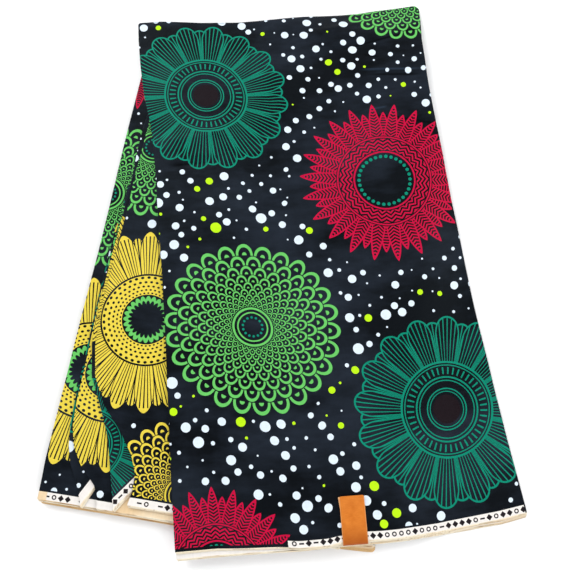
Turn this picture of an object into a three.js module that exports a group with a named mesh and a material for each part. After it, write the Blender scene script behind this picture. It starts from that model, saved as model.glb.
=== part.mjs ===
// A six-yard length of wax-print cotton, folded into a long packet that lies fanned open on a table.
//
// The cloth is doubled across its width, with the fold at the head and both selvedges at the hem, and
// is then folded along its length into panels. Most of the panels lie squared up in one stack. Above
// them two panels swing out of line at their left folds, each with the corner of the fold below it
// turned up, and two more lie over the whole as the front, turned the other way. The front reaches past
// the stack on the right, where it comes down to the table. A blank tab is folded over the hem of its
// upper panel.
//
// Millimetres, +Z up, +X to the right along the hem, +Y from the hem to the head.

import * as THREE from "three";

// Driving dimensions
const PANEL_WIDTH = 343; // a sixteenth of six yards
const PANEL_LENGTH = 584; // half of the cloth's 46 inch width
const SHEET = 1.1; // two layers of cloth as they lie, with the air between them
const GAP = 0.3; // between pieces that touch
const CORE_FOLDS = 9; // panels in the squared-up stack
const CORE_PITCH = 0.8; // each of them pressed by the ones above
const CORE_LENGTH = 548; // they stop short of the front's head, which hides theirs
const CORE_WIDTH = 334; // at the hem
const CORE_TAPER = 0.02; // and that much less for each millimetre towards the head
const STACK_TURN = -8; // degrees, hem to the left
const FRONT_TURN = 7.2; // degrees, hem to the right
const LABEL = { width: 24.5, thickness: 0.9, overLeaf: 43, underLeaf: 20 };

// Places on the table: where each group's lower left corner lies
const STACK_CORNER = { x: -244, y: -227 };
const FRONT_CORNER = { x: -104, y: -274 };
const LABEL_ON_FRONT = { across: 159.8, up: -5.4, turn: -3.3 }; // its fold, from the front's corner

// How a piece lies over the edge of another: it stays up for a little way and then comes down
const BRIDGE = 22;
const DROP = 58;

// The stack's hem is stepped, because each fold lies a little further in than the one under it
const HEM_STEP = 0.85;
const SIDE_STEP = 0.2;
const GROOVE = 0.8;
const CORE_CORNER = 4;
// How round the corners of a sheet are, where its left and right folds meet its head and its hem
const FAN_CORNERS = { head: { left: 2, right: 2 }, hem: { left: 2, right: 2 } };
const FRONT_CORNERS = { head: { left: 3, right: 8 }, hem: { left: 1.4, right: 0.8 } };

// The lowest fold's hem, in the stack's frame
const CORE_HEM = [
  { across: 0, up: 3.5 },
  { across: 40, up: 2.4 },
  { across: 90, up: 2.2 },
  { across: 138, up: 1 },
  { across: 220, up: 1.5 },
  { across: 295, up: 2.6 },
  { across: CORE_WIDTH, up: 4 },
];

// Left fold of each fanned piece, across from the stack's left corner at a height above its hem
const LEFT_FOLDS = [
  { up: 0, stackTop: -0.2, turnedFirst: 44.5, fanFirst: 60, turnedSecond: 77.5, fanSecond: 88 },
  { up: 12, stackTop: 0, turnedFirst: 42, fanFirst: 59.5, turnedSecond: 75.5, fanSecond: 89 },
  { up: 28, stackTop: -0.3, turnedFirst: 35, fanFirst: 53.5, turnedSecond: 71, fanSecond: 92 },
  { up: 45, stackTop: -0.9, turnedFirst: 25, fanFirst: 36, turnedSecond: 66, fanSecond: 91.5 },
  { up: 62, stackTop: -0.6, turnedFirst: 19.5, fanFirst: 25, turnedSecond: 61, fanSecond: 84 },
  { up: 82, stackTop: 0, turnedFirst: 16.5, fanFirst: 19.5, turnedSecond: 54, fanSecond: 69 },
  { up: 106, stackTop: 0.4, turnedFirst: 15.5, fanFirst: 18, turnedSecond: 42, fanSecond: 47 },
  { up: 133, stackTop: 1.2, turnedFirst: 16, fanFirst: 18.5, turnedSecond: 28, fanSecond: 32 },
  { up: 165, stackTop: 1.6, turnedFirst: 16, fanFirst: 18.5, turnedSecond: 21, fanSecond: 25 },
  { up: 210, stackTop: 2.8, turnedFirst: 16, fanFirst: 18, turnedSecond: 20, fanSecond: 23 },
  { up: 265, stackTop: 4.6, turnedFirst: 17, fanFirst: 19, turnedSecond: 21.5, fanSecond: 25 },
  { up: 320, stackTop: 5.6, turnedFirst: 19, fanFirst: 21, turnedSecond: 24, fanSecond: 28 },
  { up: 362, stackTop: 5.9, turnedFirst: 20, fanFirst: 22.5, turnedSecond: 24.5, fanSecond: 27.5 },
  { up: 388, stackTop: 6.2, turnedFirst: 21, fanFirst: 23.5, turnedSecond: 23.5, fanSecond: 29 },
  { up: 420, stackTop: 6.7, turnedFirst: 22.5, fanFirst: 25, turnedSecond: 24.5, fanSecond: 30 },
  { up: 445, stackTop: 7.5, turnedFirst: 24, fanFirst: 27, turnedSecond: 28, fanSecond: 31 },
  { up: CORE_LENGTH, stackTop: 10, turnedFirst: 27, fanFirst: 30, turnedSecond: 32, fanSecond: 35 },
];

// Each fanned piece: its hem's height at its left fold and how much it rises to the right, its head's
// height, and how far across the stack it runs, under the ones above
const FANNED = [
  { name: "stack_top_panel", fold: "stackTop", hem: 7, rise: -3, head: 546, reach: 300 },
  { name: "turned_corner_first", fold: "turnedFirst", hem: 6, rise: 60, head: 300, reach: 75 },
  { name: "fan_panel_first", fold: "fanFirst", hem: 6.5, rise: -3, head: 543, reach: 262 },
  { name: "turned_corner_second", fold: "turnedSecond", hem: 7.6, rise: 71, head: 470, reach: 130 },
  { name: "fan_panel_second", fold: "fanSecond", hem: 14, rise: -3, head: 540, reach: 246 },
];

// The front's outline in its own turned frame: how far its folds wander in from the panel's straight
// sides at a height above the hem, and how far its head lies past the panel's length
const FRONT_SIDES = [
  { up: 0, left: 0, right: -1.6 },
  { up: 75, left: 2, right: 2.9 },
  { up: 150, left: 5, right: 6.1 },
  { up: 215, left: 7.5, right: 8 },
  { up: 290, left: 9.3, right: 8.4 },
  { up: 330, left: 9.5, right: 9.5 },
  { up: 396, left: 10.5, right: 9.4 },
  { up: 440, left: 10.5, right: 10 },
  { up: 468, left: 8.5, right: 9.9 },
  { up: 497, left: 4.5, right: 9 },
  { up: 535, left: 3, right: 6.6 },
  { up: 573, left: 2.8, right: 0.8 },
  { up: 592, left: 3.6, right: -1.6 },
];
const FRONT_HEAD = [
  { across: 0, past: 13 },
  { across: 26, past: 11.6 },
  { across: 50, past: 8 },
  { across: 74, past: 4 },
  { across: 123, past: -1.2 },
  { across: 148, past: -1.6 },
  { across: 197, past: -0.2 },
  { across: 245, past: -1.4 },
  { across: 270, past: -0.4 },
  { across: 294, past: 2.2 },
  { across: PANEL_WIDTH, past: 4 },
];
// The hems of the front's upper panel and of the one under it, which shows along it. The tab draws the
// upper one in a little.
const FRONT_HEM = [
  { across: 0, upper: 5.9, under: -0.8 },
  { across: 40, upper: 4.2, under: -1.8 },
  { across: 62, upper: 1.6, under: -3 },
  { across: 100, upper: -1.8, under: -5.3 },
  { across: 119, upper: -5, under: -6.5 },
  { across: 147, upper: -6.2, under: -7.3 },
  { across: 157, upper: -5.1, under: -7.6 },
  { across: 186, upper: -6.4, under: -9.2 },
  { across: 200, upper: -7.6, under: -10 },
  { across: 215, upper: -8.1, under: -10.5 },
  { across: 256, upper: -8.6, under: -10.6 },
  { across: 287, upper: -7, under: -9.7 },
  { across: 317, upper: -5.3, under: -8.4 },
  { across: PANEL_WIDTH, upper: -2.6, under: -5 },
];
const UNDER_PANEL = { sidesIn: 0.4, headIn: 1.5 };

// Soft ridges across the front, each a low swell along a straight line from one end to the other
const FRONT_RIDGES = [
  { fromAcross: 20, fromUp: 432, toAcross: 150, toUp: 448, height: 1.5, spread: 15 },
  { fromAcross: 215, fromUp: 548, toAcross: 335, toUp: 560, height: 1.6, spread: 14 },
  { fromAcross: 235, fromUp: 512, toAcross: 338, toUp: 506, height: 1.3, spread: 12 },
  { fromAcross: 40, fromUp: 330, toAcross: 300, toUp: 318, height: 1.1, spread: 20 },
  { fromAcross: 60, fromUp: 140, toAcross: 330, toUp: 152, height: 1.2, spread: 22 },
];

// Finishes
const PRINTED_CLOTH = { color: 0x1c2028, roughness: 0.55, metalness: 0 };
const CLOTH_EDGES = { color: 0xddc49c, roughness: 0.8, metalness: 0 };
const TAB_LEATHER = { color: 0xe08a3c, roughness: 0.6, metalness: 0 };

// The value of a table's column at a place, on a straight line between its rows.
function readTable(table, placeColumn, valueColumn, place) {
  const above = table.findIndex((row) => row[placeColumn] >= place);
  if (above === 0) return table[0][valueColumn];
  if (above < 0) return table[table.length - 1][valueColumn];
  const [low, high] = [table[above - 1], table[above]];
  const share = (place - low[placeColumn]) / (high[placeColumn] - low[placeColumn]);
  return THREE.MathUtils.lerp(low[valueColumn], high[valueColumn], share);
}

// A closed mesh's geometry from a list of points and a list of triangles.
function solid(points, triangles) {
  const geometry = new THREE.BufferGeometry();
  geometry.setAttribute("position", new THREE.Float32BufferAttribute(points.flat(), 3));
  geometry.setIndex(triangles.flat());
  geometry.computeVertexNormals();
  return geometry;
}

function named(name, geometry, finish) {
  const mesh = new THREE.Mesh(geometry, new THREE.MeshStandardMaterial(finish));
  mesh.name = name;
  return mesh;
}

// A group that lies turned on the table, with its lower left corner at a place on it.
function turnedGroup(corner, degrees) {
  const group = new THREE.Group();
  group.position.set(corner.x, corner.y, 0);
  group.rotation.z = THREE.MathUtils.degToRad(degrees);
  group.updateMatrixWorld(true);
  return group;
}

// The table's own x and y of a place in a group.
function onTable(group, across, up) {
  return new THREE.Vector3(across, up, 0).applyMatrix4(group.matrixWorld);
}

// The pile: what lies on the table so far, each piece by its outline on the table and its thickness.
const pile = [];

function distanceOutside(outline, x, y) {
  let inside = false;
  let nearest = Infinity;
  outline.forEach((start, i) => {
    const end = outline[(i + 1) % outline.length];
    const crosses = start.y > y !== end.y > y;
    if (crosses && x < ((end.x - start.x) * (y - start.y)) / (end.y - start.y) + start.x) inside = !inside;
    const along = new THREE.Vector2(end.x - start.x, end.y - start.y);
    const to = new THREE.Vector2(x - start.x, y - start.y);
    const share = THREE.MathUtils.clamp(to.dot(along) / along.lengthSq(), 0, 1);
    nearest = Math.min(nearest, to.sub(along.multiplyScalar(share)).length());
  });
  return inside ? 0 : nearest;
}

// How high the pile holds up what is laid on it at a place on the table.
function pileHeight(x, y, pieces = pile) {
  return pieces.reduce((height, piece) => {
    const past = distanceOutside(piece.outline, x, y) - BRIDGE;
    const held = 1 - THREE.MathUtils.smoothstep(past, 0, DROP);
    return height + (piece.thickness + GAP) * held;
  }, 0);
}

// How far a rounded corner draws the side in, at a distance from the end of that side.
function cornerInset(radius, fromEnd) {
  const into = Math.max(radius - fromEnd, 0);
  return radius - Math.sqrt(radius * radius - into * into);
}

// Stations from 0 to 1 from the head to the hem, evenly spaced but for the corners at each end.
function stations(count, headShare, hemShare) {
  const even = Array.from({ length: count - 1 }, (_, i) => (i + 1) / count);
  const halfTurned = 1 - Math.SQRT1_2;
  return [0, headShare * halfTurned, headShare, ...even, 1 - hemShare, 1 - hemShare * halfTurned, 1];
}

// A sheet of doubled cloth laid on the pile. Its outline comes from four functions in the group's own
// plane: left(up) and right(up) give its folds, head(share) and hem(share) its ends. lift raises it.
function laySheet(group, sheet) {
  const { left, right, head, hem, columns, rows, corners, lift = () => 0 } = sheet;
  const rim = SHEET / 2;
  const length = head(0) - hem(0);
  const largest = ({ left: one, right: other }) => Math.max(one, other) / length;
  const downs = stations(rows, largest(corners.head), largest(corners.hem));
  const acrosses = Array.from({ length: columns + 1 }, (_, i) => i / columns);
  const place = (down, share) => {
    const up = THREE.MathUtils.lerp(head(share), hem(share), down);
    const inset = (side) =>
      cornerInset(corners.head[side], head(share) - up) + cornerInset(corners.hem[side], up - hem(share));
    return [THREE.MathUtils.lerp(left(up) + inset("left"), right(up) - inset("right"), share), up];
  };
  const heightAt = (across, up) => {
    const { x, y } = onTable(group, across, up);
    return pileHeight(x, y) + lift(across, up);
  };

  const points = [];
  const wide = acrosses.length;
  const tall = downs.length;
  // The upper and lower faces stop half a thickness short of the edge, which rounds it
  const face = (rise) => {
    const first = points.length;
    downs.forEach((down, i) => {
      acrosses.forEach((share, j) => {
        const [across, up] = place(down, share);
        const inAcross = (j === 0 ? rim : 0) - (j === wide - 1 ? rim : 0);
        const inUp = (i === tall - 1 ? rim : 0) - (i === 0 ? rim : 0);
        points.push([across + inAcross, up + inUp, heightAt(across, up) + rise]);
      });
    });
    return first;
  };
  const lower = face(0);
  const upper = face(SHEET);

  const ring = [];
  for (let j = 0; j < wide - 1; j++) ring.push([0, j]);
  for (let i = 0; i < tall - 1; i++) ring.push([i, wide - 1]);
  for (let j = wide - 1; j > 0; j--) ring.push([tall - 1, j]);
  for (let i = tall - 1; i > 0; i--) ring.push([i, 0]);
  const edge = points.length;
  ring.forEach(([i, j]) => {
    const [across, up] = place(downs[i], acrosses[j]);
    points.push([across, up, heightAt(across, up) + SHEET / 2]);
  });

  const triangles = [];
  for (let i = 0; i < tall - 1; i++) {
    for (let j = 0; j < wide - 1; j++) {
      const a = i * wide + j;
      const [b, c, d] = [a + 1, a + wide, a + wide + 1];
      triangles.push([upper + a, upper + c, upper + b], [upper + b, upper + c, upper + d]);
      triangles.push([lower + a, lower + b, lower + c], [lower + b, lower + d, lower + c]);
    }
  }
  ring.forEach(([i, j], k) => {
    const next = (k + 1) % ring.length;
    const [a, b] = [i * wide + j, ring[next][0] * wide + ring[next][1]];
    const [here, there] = [edge + k, edge + next];
    triangles.push([upper + a, upper + b, here], [upper + b, there, here]);
    triangles.push([lower + a, here, lower + b], [lower + b, here, there]);
  });

  const outline = ring.map(([i, j]) => onTable(group, ...place(downs[i], acrosses[j])));
  pile.push({ outline, thickness: SHEET });
  return solid(points, triangles);
}

// The squared-up stack: one rounded solid, with a groove between each fold and the next.
function stackCore(group) {
  const straight = { side: 6, hem: 9 };
  const cornerSteps = 4;
  const { lerp } = THREE.MathUtils;

  // The outline of one fold, drawn in by the step of its place in the stack and by its groove
  const outlineOf = (stepIn, sideIn) => {
    const hemAt = (across) => stepIn + readTable(CORE_HEM, "across", "up", across);
    const topPanelAt = (up) => readTable(LEFT_FOLDS, "up", "stackTop", up);
    const leftAt = (up) => topPanelAt(up) - topPanelAt(0) + sideIn;
    const rightAt = (up) => CORE_WIDTH - CORE_TAPER * up - sideIn;
    const head = CORE_LENGTH - sideIn;
    const corners = [
      { across: leftAt(0), up: hemAt(0), turn: 180, in: [1, 1] },
      { across: rightAt(0), up: hemAt(CORE_WIDTH), turn: 270, in: [-1, 1] },
      { across: rightAt(head), up: head, turn: 0, in: [-1, -1] },
      { across: leftAt(head), up: head, turn: 90, in: [1, -1] },
    ];
    const arc = ({ across, up, turn, in: [inX, inY] }) =>
      Array.from({ length: cornerSteps + 1 }, (_, i) => {
        const angle = THREE.MathUtils.degToRad(turn + (90 * i) / cornerSteps);
        return [
          across + inX * CORE_CORNER + CORE_CORNER * Math.cos(angle),
          up + inY * CORE_CORNER + CORE_CORNER * Math.sin(angle),
        ];
      });
    const run = (count, at) => Array.from({ length: count - 1 }, (_, i) => at((i + 1) / count));
    const [hemLeft, hemRight, headRight, headLeft] = corners;
    return [
      ...arc(hemLeft),
      ...run(straight.hem, (s) => {
        const across = lerp(hemLeft.across + CORE_CORNER, hemRight.across - CORE_CORNER, s);
        return [across, hemAt(across)];
      }),
      ...arc(hemRight),
      ...run(straight.side, (s) => {
        const up = lerp(hemRight.up + CORE_CORNER, head - CORE_CORNER, s);
        return [rightAt(up), up];
      }),
      ...arc(headRight),
      ...run(straight.hem, (s) => [
        lerp(headRight.across - CORE_CORNER, headLeft.across + CORE_CORNER, s),
        head,
      ]),
      ...arc(headLeft),
      ...run(straight.side, (s) => {
        const up = lerp(head - CORE_CORNER, hemLeft.up + CORE_CORNER, s);
        return [leftAt(up), up];
      }),
    ];
  };

  const rings = [];
  for (let fold = 0; fold < CORE_FOLDS; fold++) {
    const [stepIn, sideIn] = [fold * HEM_STEP, fold * SIDE_STEP];
    rings.push({ outline: outlineOf(stepIn + GROOVE, sideIn + GROOVE), up: fold * CORE_PITCH });
    rings.push({ outline: outlineOf(stepIn, sideIn), up: (fold + 0.5) * CORE_PITCH });
  }
  const top = CORE_FOLDS * CORE_PITCH;
  const [topStep, topSide] = [CORE_FOLDS * HEM_STEP, CORE_FOLDS * SIDE_STEP];
  rings.push({ outline: outlineOf(topStep + GROOVE, topSide + GROOVE), up: top });

  const points = rings.flatMap(({ outline, up }) => outline.map(([x, y]) => [x, y, up]));
  const around = rings[0].outline.length;
  const triangles = [];
  for (let level = 0; level < rings.length - 1; level++) {
    for (let k = 0; k < around; k++) {
      const next = (k + 1) % around;
      const [a, b] = [level * around + k, level * around + next];
      triangles.push([a, b, a + around], [b, b + around, a + around]);
    }
  }
  // A flat face at the bottom and at the top, each a fan from its middle
  const middle = [PANEL_WIDTH / 2, CORE_LENGTH / 2];
  const bottomMiddle = points.push([...middle, 0]) - 1;
  const topMiddle = points.push([...middle, top]) - 1;
  const topRing = (rings.length - 1) * around;
  for (let k = 0; k < around; k++) {
    const next = (k + 1) % around;
    triangles.push([next, k, bottomMiddle], [topRing + k, topRing + next, topMiddle]);
  }

  const onTop = rings[rings.length - 2].outline;
  pile.push({ outline: onTop.map(([x, y]) => onTable(group, x, y)), thickness: top });
  return solid(points, triangles);
}

// A panel, or a turned corner, of the fan. It runs from its left fold to where the ones above hide it.
function fannedSheet(group, { fold, hem, rise, head, reach }) {
  const squareSize = 30; // about how long the sheet's faces are each way
  const leftAt = (up) => readTable(LEFT_FOLDS, "up", fold, up);
  // The hem is straight and the left fold isn't, so the rise at a share of the width is searched for
  const riseMade = (share) => {
    let [low, high] = [0, 1];
    for (let halving = 0; halving < 24; halving++) {
      const made = (low + high) / 2;
      const across = THREE.MathUtils.lerp(leftAt(hem + rise * made), reach, share);
      if (made * (reach - leftAt(hem)) < across - leftAt(hem)) low = made;
      else high = made;
    }
    return low;
  };
  return laySheet(group, {
    left: leftAt,
    right: () => reach,
    head: () => head,
    hem: (share) => hem + rise * riseMade(share),
    columns: Math.round(reach / squareSize) + 1,
    rows: Math.round(head / squareSize),
    corners: FAN_CORNERS,
  });
}

function ridgeHeight(across, up) {
  return FRONT_RIDGES.reduce((height, ridge) => {
    const line = new THREE.Line3(
      new THREE.Vector3(ridge.fromAcross, ridge.fromUp, 0),
      new THREE.Vector3(ridge.toAcross, ridge.toUp, 0),
    );
    const place = new THREE.Vector3(across, up, 0);
    const off = line.closestPointToPoint(place, true, new THREE.Vector3()).distanceTo(place);
    return height + ridge.height * Math.exp(-((off / ridge.spread) ** 2));
  }, 0);
}

// One of the front's two panels. The lower one lies a little further in, but out at the hem.
function frontSheet(group, hemColumn, { sidesIn = 0, headIn = 0 }, lift) {
  return laySheet(group, {
    left: (up) => readTable(FRONT_SIDES, "up", "left", up) + sidesIn,
    right: (up) => PANEL_WIDTH - readTable(FRONT_SIDES, "up", "right", up) - sidesIn,
    head: (share) =>
      PANEL_LENGTH + readTable(FRONT_HEAD, "across", "past", share * PANEL_WIDTH) - headIn,
    hem: (share) => readTable(FRONT_HEM, "across", hemColumn, share * PANEL_WIDTH),
    columns: 14,
    rows: 22,
    corners: FRONT_CORNERS,
    lift,
  });
}

// The tab's leaf under the upper panel, in the tab's own frame, whose fold starts at its origin
function layLabelUnderLeaf(group) {
  const corners = [
    [0, 0],
    [LABEL.width, 0],
    [LABEL.width, LABEL.underLeaf],
    [0, LABEL.underLeaf],
  ];
  pile.push({ outline: corners.map(([x, y]) => onTable(group, x, y)), thickness: LABEL.thickness });
}

// A ribbon folded round the hem: the leaf under it, a half turn, and the leaf on top.
// underHeight and overHeight give the pile's height under each leaf.
function edgeLabel(group, underHeight, overHeight) {
  const half = LABEL.thickness / 2;
  const bulge = 1.3;
  const bendSteps = 6;
  const leafSteps = 3;
  const leaf = (from, to, heightOf) =>
    Array.from({ length: leafSteps + 1 }, (_, i) => ({
      up: THREE.MathUtils.lerp(from, to, i / leafSteps),
      heightOf,
      normal: heightOf === overHeight ? [0, 1] : [0, -1],
    }));
  const bend = Array.from({ length: bendSteps - 1 }, (_, i) => {
    const angle = (Math.PI * (i + 1)) / bendSteps;
    const rise = (1 - Math.cos(angle)) / 2;
    return {
      up: -bulge * Math.sin(angle),
      heightOf: (x, y) => THREE.MathUtils.lerp(underHeight(x, y), overHeight(x, y), rise),
      normal: [-Math.sin(angle), -Math.cos(angle)],
    };
  });
  const path = [
    ...leaf(LABEL.underLeaf, 0, underHeight),
    ...bend,
    ...leaf(0, LABEL.overLeaf, overHeight),
  ];

  // Four corners at each station: left and right, on the ribbon's inner and outer face
  const points = path.flatMap(({ up, heightOf, normal: [normalUp, normalZ] }) =>
    [
      [0, -1],
      [LABEL.width, -1],
      [LABEL.width, 1],
      [0, 1],
    ].map(([across, side]) => {
      const { x, y } = onTable(group, across, up);
      const middle = heightOf(x, y) + half;
      return [across, up + side * half * normalUp, middle + side * half * normalZ];
    }),
  );
  const triangles = [];
  for (let i = 0; i < path.length - 1; i++) {
    for (let k = 0; k < 4; k++) {
      const [a, b] = [i * 4 + k, i * 4 + ((k + 1) % 4)];
      triangles.push([a, a + 4, b], [b, a + 4, b + 4]);
    }
  }
  const last = (path.length - 1) * 4;
  triangles.push([0, 1, 2], [0, 2, 3], [last, last + 2, last + 1], [last, last + 3, last + 2]);
  return solid(points, triangles);
}

// The heap, laid down from the table up
const stack = turnedGroup(STACK_CORNER, STACK_TURN);
stack.add(named("stack_core", stackCore(stack), CLOTH_EDGES));
FANNED.forEach((piece) => stack.add(named(piece.name, fannedSheet(stack, piece), PRINTED_CLOTH)));

const front = turnedGroup(FRONT_CORNER, FRONT_TURN);
const tab = turnedGroup(
  onTable(front, LABEL_ON_FRONT.across, LABEL_ON_FRONT.up),
  FRONT_TURN + LABEL_ON_FRONT.turn,
);
front.add(named("front_under_panel", frontSheet(front, "under", UNDER_PANEL), PRINTED_CLOTH));
const underLabel = [...pile];
layLabelUnderLeaf(tab);
front.add(named("front_panel", frontSheet(front, "upper", {}, ridgeHeight), PRINTED_CLOTH));
const label = edgeLabel(tab, (x, y) => pileHeight(x, y, underLabel), pileHeight);
tab.add(named("edge_label", label, TAB_LEATHER));

// The heap stands with the middle of its base at the origin. The box is taken from the points
// themselves, because the groups are turned.
const heap = new THREE.Group();
heap.add(stack, front, tab);
const extent = new THREE.Box3().setFromObject(heap, true);
const middle = extent.getCenter(new THREE.Vector3());
heap.position.set(-middle.x, -middle.y, -extent.min.z);

const fabric = new THREE.Group();
fabric.add(heap);
export default fabric;
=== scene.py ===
"""A six-yard length of wax-print cotton, folded into a long packet that lies fanned open on a table.

The shapes are worked out in millimetres, in the two frames that the pieces lie in: the stack's and the
front's, each turned on the table. across runs along the hem to the right and up runs from the hem to
the head. Meshes are made in metres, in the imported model's frame.
"""

import math

import bpy
import numpy as np
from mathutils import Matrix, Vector


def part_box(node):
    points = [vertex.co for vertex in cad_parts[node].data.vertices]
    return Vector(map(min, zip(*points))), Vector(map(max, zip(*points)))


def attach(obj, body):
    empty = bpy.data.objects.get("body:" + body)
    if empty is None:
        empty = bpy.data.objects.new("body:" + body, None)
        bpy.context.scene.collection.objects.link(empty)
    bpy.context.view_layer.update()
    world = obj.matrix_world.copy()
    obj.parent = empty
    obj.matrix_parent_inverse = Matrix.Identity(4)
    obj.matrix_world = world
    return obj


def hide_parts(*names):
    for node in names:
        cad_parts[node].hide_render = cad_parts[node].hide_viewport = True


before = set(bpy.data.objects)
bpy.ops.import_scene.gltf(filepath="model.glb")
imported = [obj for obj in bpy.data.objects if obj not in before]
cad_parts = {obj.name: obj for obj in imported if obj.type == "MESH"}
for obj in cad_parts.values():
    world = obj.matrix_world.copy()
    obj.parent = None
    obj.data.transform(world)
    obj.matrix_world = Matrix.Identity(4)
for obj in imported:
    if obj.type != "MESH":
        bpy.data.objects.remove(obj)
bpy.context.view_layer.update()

# The cloth and the way it is folded
PANEL_WIDTH = 343
PANEL_LENGTH = 584
SHEET = 1.1  # a doubled panel as it lies
GAP = 0.3
BRIDGE = 22  # a piece stays up for this much past the edge of the one under it
DROP = 58  # and then comes down over this much
STACK_TURN = -8
FRONT_TURN = 7.2
STACK_CORNER = (-244, -227)
FRONT_CORNER = (-104, -274)

CORE_FOLDS = 9
CORE_PITCH = 0.8
CORE_LENGTH = 548
CORE_WIDTH = 334
CORE_TAPER = 0.02
CORE_CORNER = 4
CORE_PRINT_STEP = 137  # along the cloth, from what one fold's edge shows of the print to the next one's
CORE_HEM_BAND = 12  # below this height an edge of the stack is its hem
CORE_WOBBLE = {"reach": 1.5, "size": 160}
# How round the corners of a sheet are, where its left and right folds meet its head and its hem
FAN_CORNERS = {"head": (2, 2), "hem": (2, 2)}
FRONT_CORNERS = {"head": (3, 8), "hem": (1.4, 0.8)}
HEM_STEP = 0.85  # each fold lies this much further in than the one under it
SIDE_STEP = 0.2
CORE_HEM = {
    "across": [0, 40, 90, 138, 220, 295, 334],
    "up": [3.5, 2.4, 2.2, 1, 1.5, 2.6, 4],
}

# The left fold of each fanned piece: how far across it is at each height up the stack's frame
LEFT_FOLDS = {
    "up": [0, 12, 28, 45, 62, 82, 106, 133, 165, 210, 265, 320, 362, 388, 420, 445, 548],
    "stack_top_panel": [
        -0.2, 0, -0.3, -0.9, -0.6, 0, 0.4, 1.2, 1.6, 2.8, 4.6, 5.6, 5.9, 6.2, 6.7, 7.5, 10,
    ],
    "turned_corner_first": [
        44.5, 42, 35, 25, 19.5, 16.5, 15.5, 16, 16, 16, 17, 19, 20, 21, 22.5, 24, 27,
    ],
    "fan_panel_first": [
        60, 59.5, 53.5, 36, 25, 19.5, 18, 18.5, 18.5, 18, 19, 21, 22.5, 23.5, 25, 27, 30,
    ],
    "turned_corner_second": [
        77.5, 75.5, 71, 66, 61, 54, 42, 28, 21, 20, 21.5, 24, 24.5, 23.5, 24.5, 28, 32,
    ],
    "fan_panel_second": [88, 89, 92, 91.5, 84, 69, 47, 32, 25, 23, 25, 28, 27.5, 29, 30, 31, 35],
}
FRONT_SIDES = {
    "up": [0, 75, 150, 215, 290, 330, 396, 440, 468, 497, 535, 573, 592],
    "left": [0, 2, 5, 7.5, 9.3, 9.5, 10.5, 10.5, 8.5, 4.5, 3, 2.8, 3.6],
    "right": [-1.6, 2.9, 6.1, 8, 8.4, 9.5, 9.4, 10, 9.9, 9, 6.6, 0.8, -1.6],
}
FRONT_HEAD = {
    "across": [0, 26, 50, 74, 123, 148, 197, 245, 270, 294, 343],
    "past": [13, 11.6, 8, 4, -1.2, -1.6, -0.2, -1.4, -0.4, 2.2, 4],
}
# The hems of the front's upper panel and of the one under it, which shows along it. The tab draws the
# upper one in a little.
FRONT_HEM = {
    "across": [0, 40, 62, 100, 119, 147, 157, 186, 200, 215, 256, 287, 317, 343],
    "upper": [5.9, 4.2, 1.6, -1.8, -5, -6.2, -5.1, -6.4, -7.6, -8.1, -8.6, -7, -5.3, -2.6],
    "under": [-0.8, -1.8, -3, -5.3, -6.5, -7.3, -7.6, -9.2, -10, -10.5, -10.6, -9.7, -8.4, -5],
}
UNDER_PANEL = {"sides_in": 0.4, "head_in": 1.5}
LABEL = {"width": 24.5, "thickness": 0.9, "over_leaf": 43, "half_turn": 4, "under_leaf": 20}
LABEL_ON_FRONT = {"across": 159.8, "up": -5.4, "turn": -3.3}  # where its fold starts
# A second layer under its upper leaf, which shows a little at the left
BACKING = {"length": 17, "shows": 1.7, "thickness": 0.3, "gap": 0.02}
BACKING_IN = {"left": 0.6, "right": 1, "end": 0.5}  # inside the upper leaf's own sides and end
BACKING_ASIDE = 100  # its places on the leather are this far below the tab's own

# Where each piece's corner lies on the unfolded cloth, along its length
PLACE_ON_CLOTH = {
    "stack_core": 1845,
    "stack_top_panel": 1885,
    "turned_corner_first": 3500,
    "fan_panel_first": 750,
    "turned_corner_second": 610,
    "fan_panel_second": 420,
    "front_under_panel": 2220,
    "front_panel": 0,
}


def in_metres(millimetres):
    return millimetres / 1000


def smoothstep(value, start, end):
    share = np.clip((value - start) / (end - start), 0, 1)
    return share * share * (3 - 2 * share)


class TurnedFrame:
    """A frame that lies turned on the table, with its lower left corner at a place on it."""

    def __init__(self, corner, degrees):
        self.corner = np.array(corner, float)
        angle = math.radians(degrees)
        self.along = np.array([math.cos(angle), math.sin(angle)])
        self.away = np.array([-math.sin(angle), math.cos(angle)])

    def on_table(self, across, up):
        x = self.corner[0] + across * self.along[0] + up * self.away[0]
        y = self.corner[1] + across * self.along[1] + up * self.away[1]
        return x, y

    def from_table(self, x, y):
        x, y = x - self.corner[0], y - self.corner[1]
        return x * self.along[0] + y * self.along[1], x * self.away[0] + y * self.away[1]

    def placed(self, points):
        """Points across, up and high in this frame, as places over the table."""
        x, y = self.on_table(points[:, 0], points[:, 1])
        return np.column_stack([x, y, points[:, 2]])


STACK = TurnedFrame(STACK_CORNER, STACK_TURN)
FRONT = TurnedFrame(FRONT_CORNER, FRONT_TURN)
TAB = TurnedFrame(
    FRONT.on_table(LABEL_ON_FRONT["across"], LABEL_ON_FRONT["up"]),
    FRONT_TURN + LABEL_ON_FRONT["turn"],
)

# What lies on the table so far: each piece's outline on the table and its thickness
pile = []


def lay_down(turned, outline, thickness):
    """Adds a piece to the pile, by its outline in the frame that it lies in."""
    pile.append((np.stack(turned.on_table(outline[:, 0], outline[:, 1]), axis=1), thickness))


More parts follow.
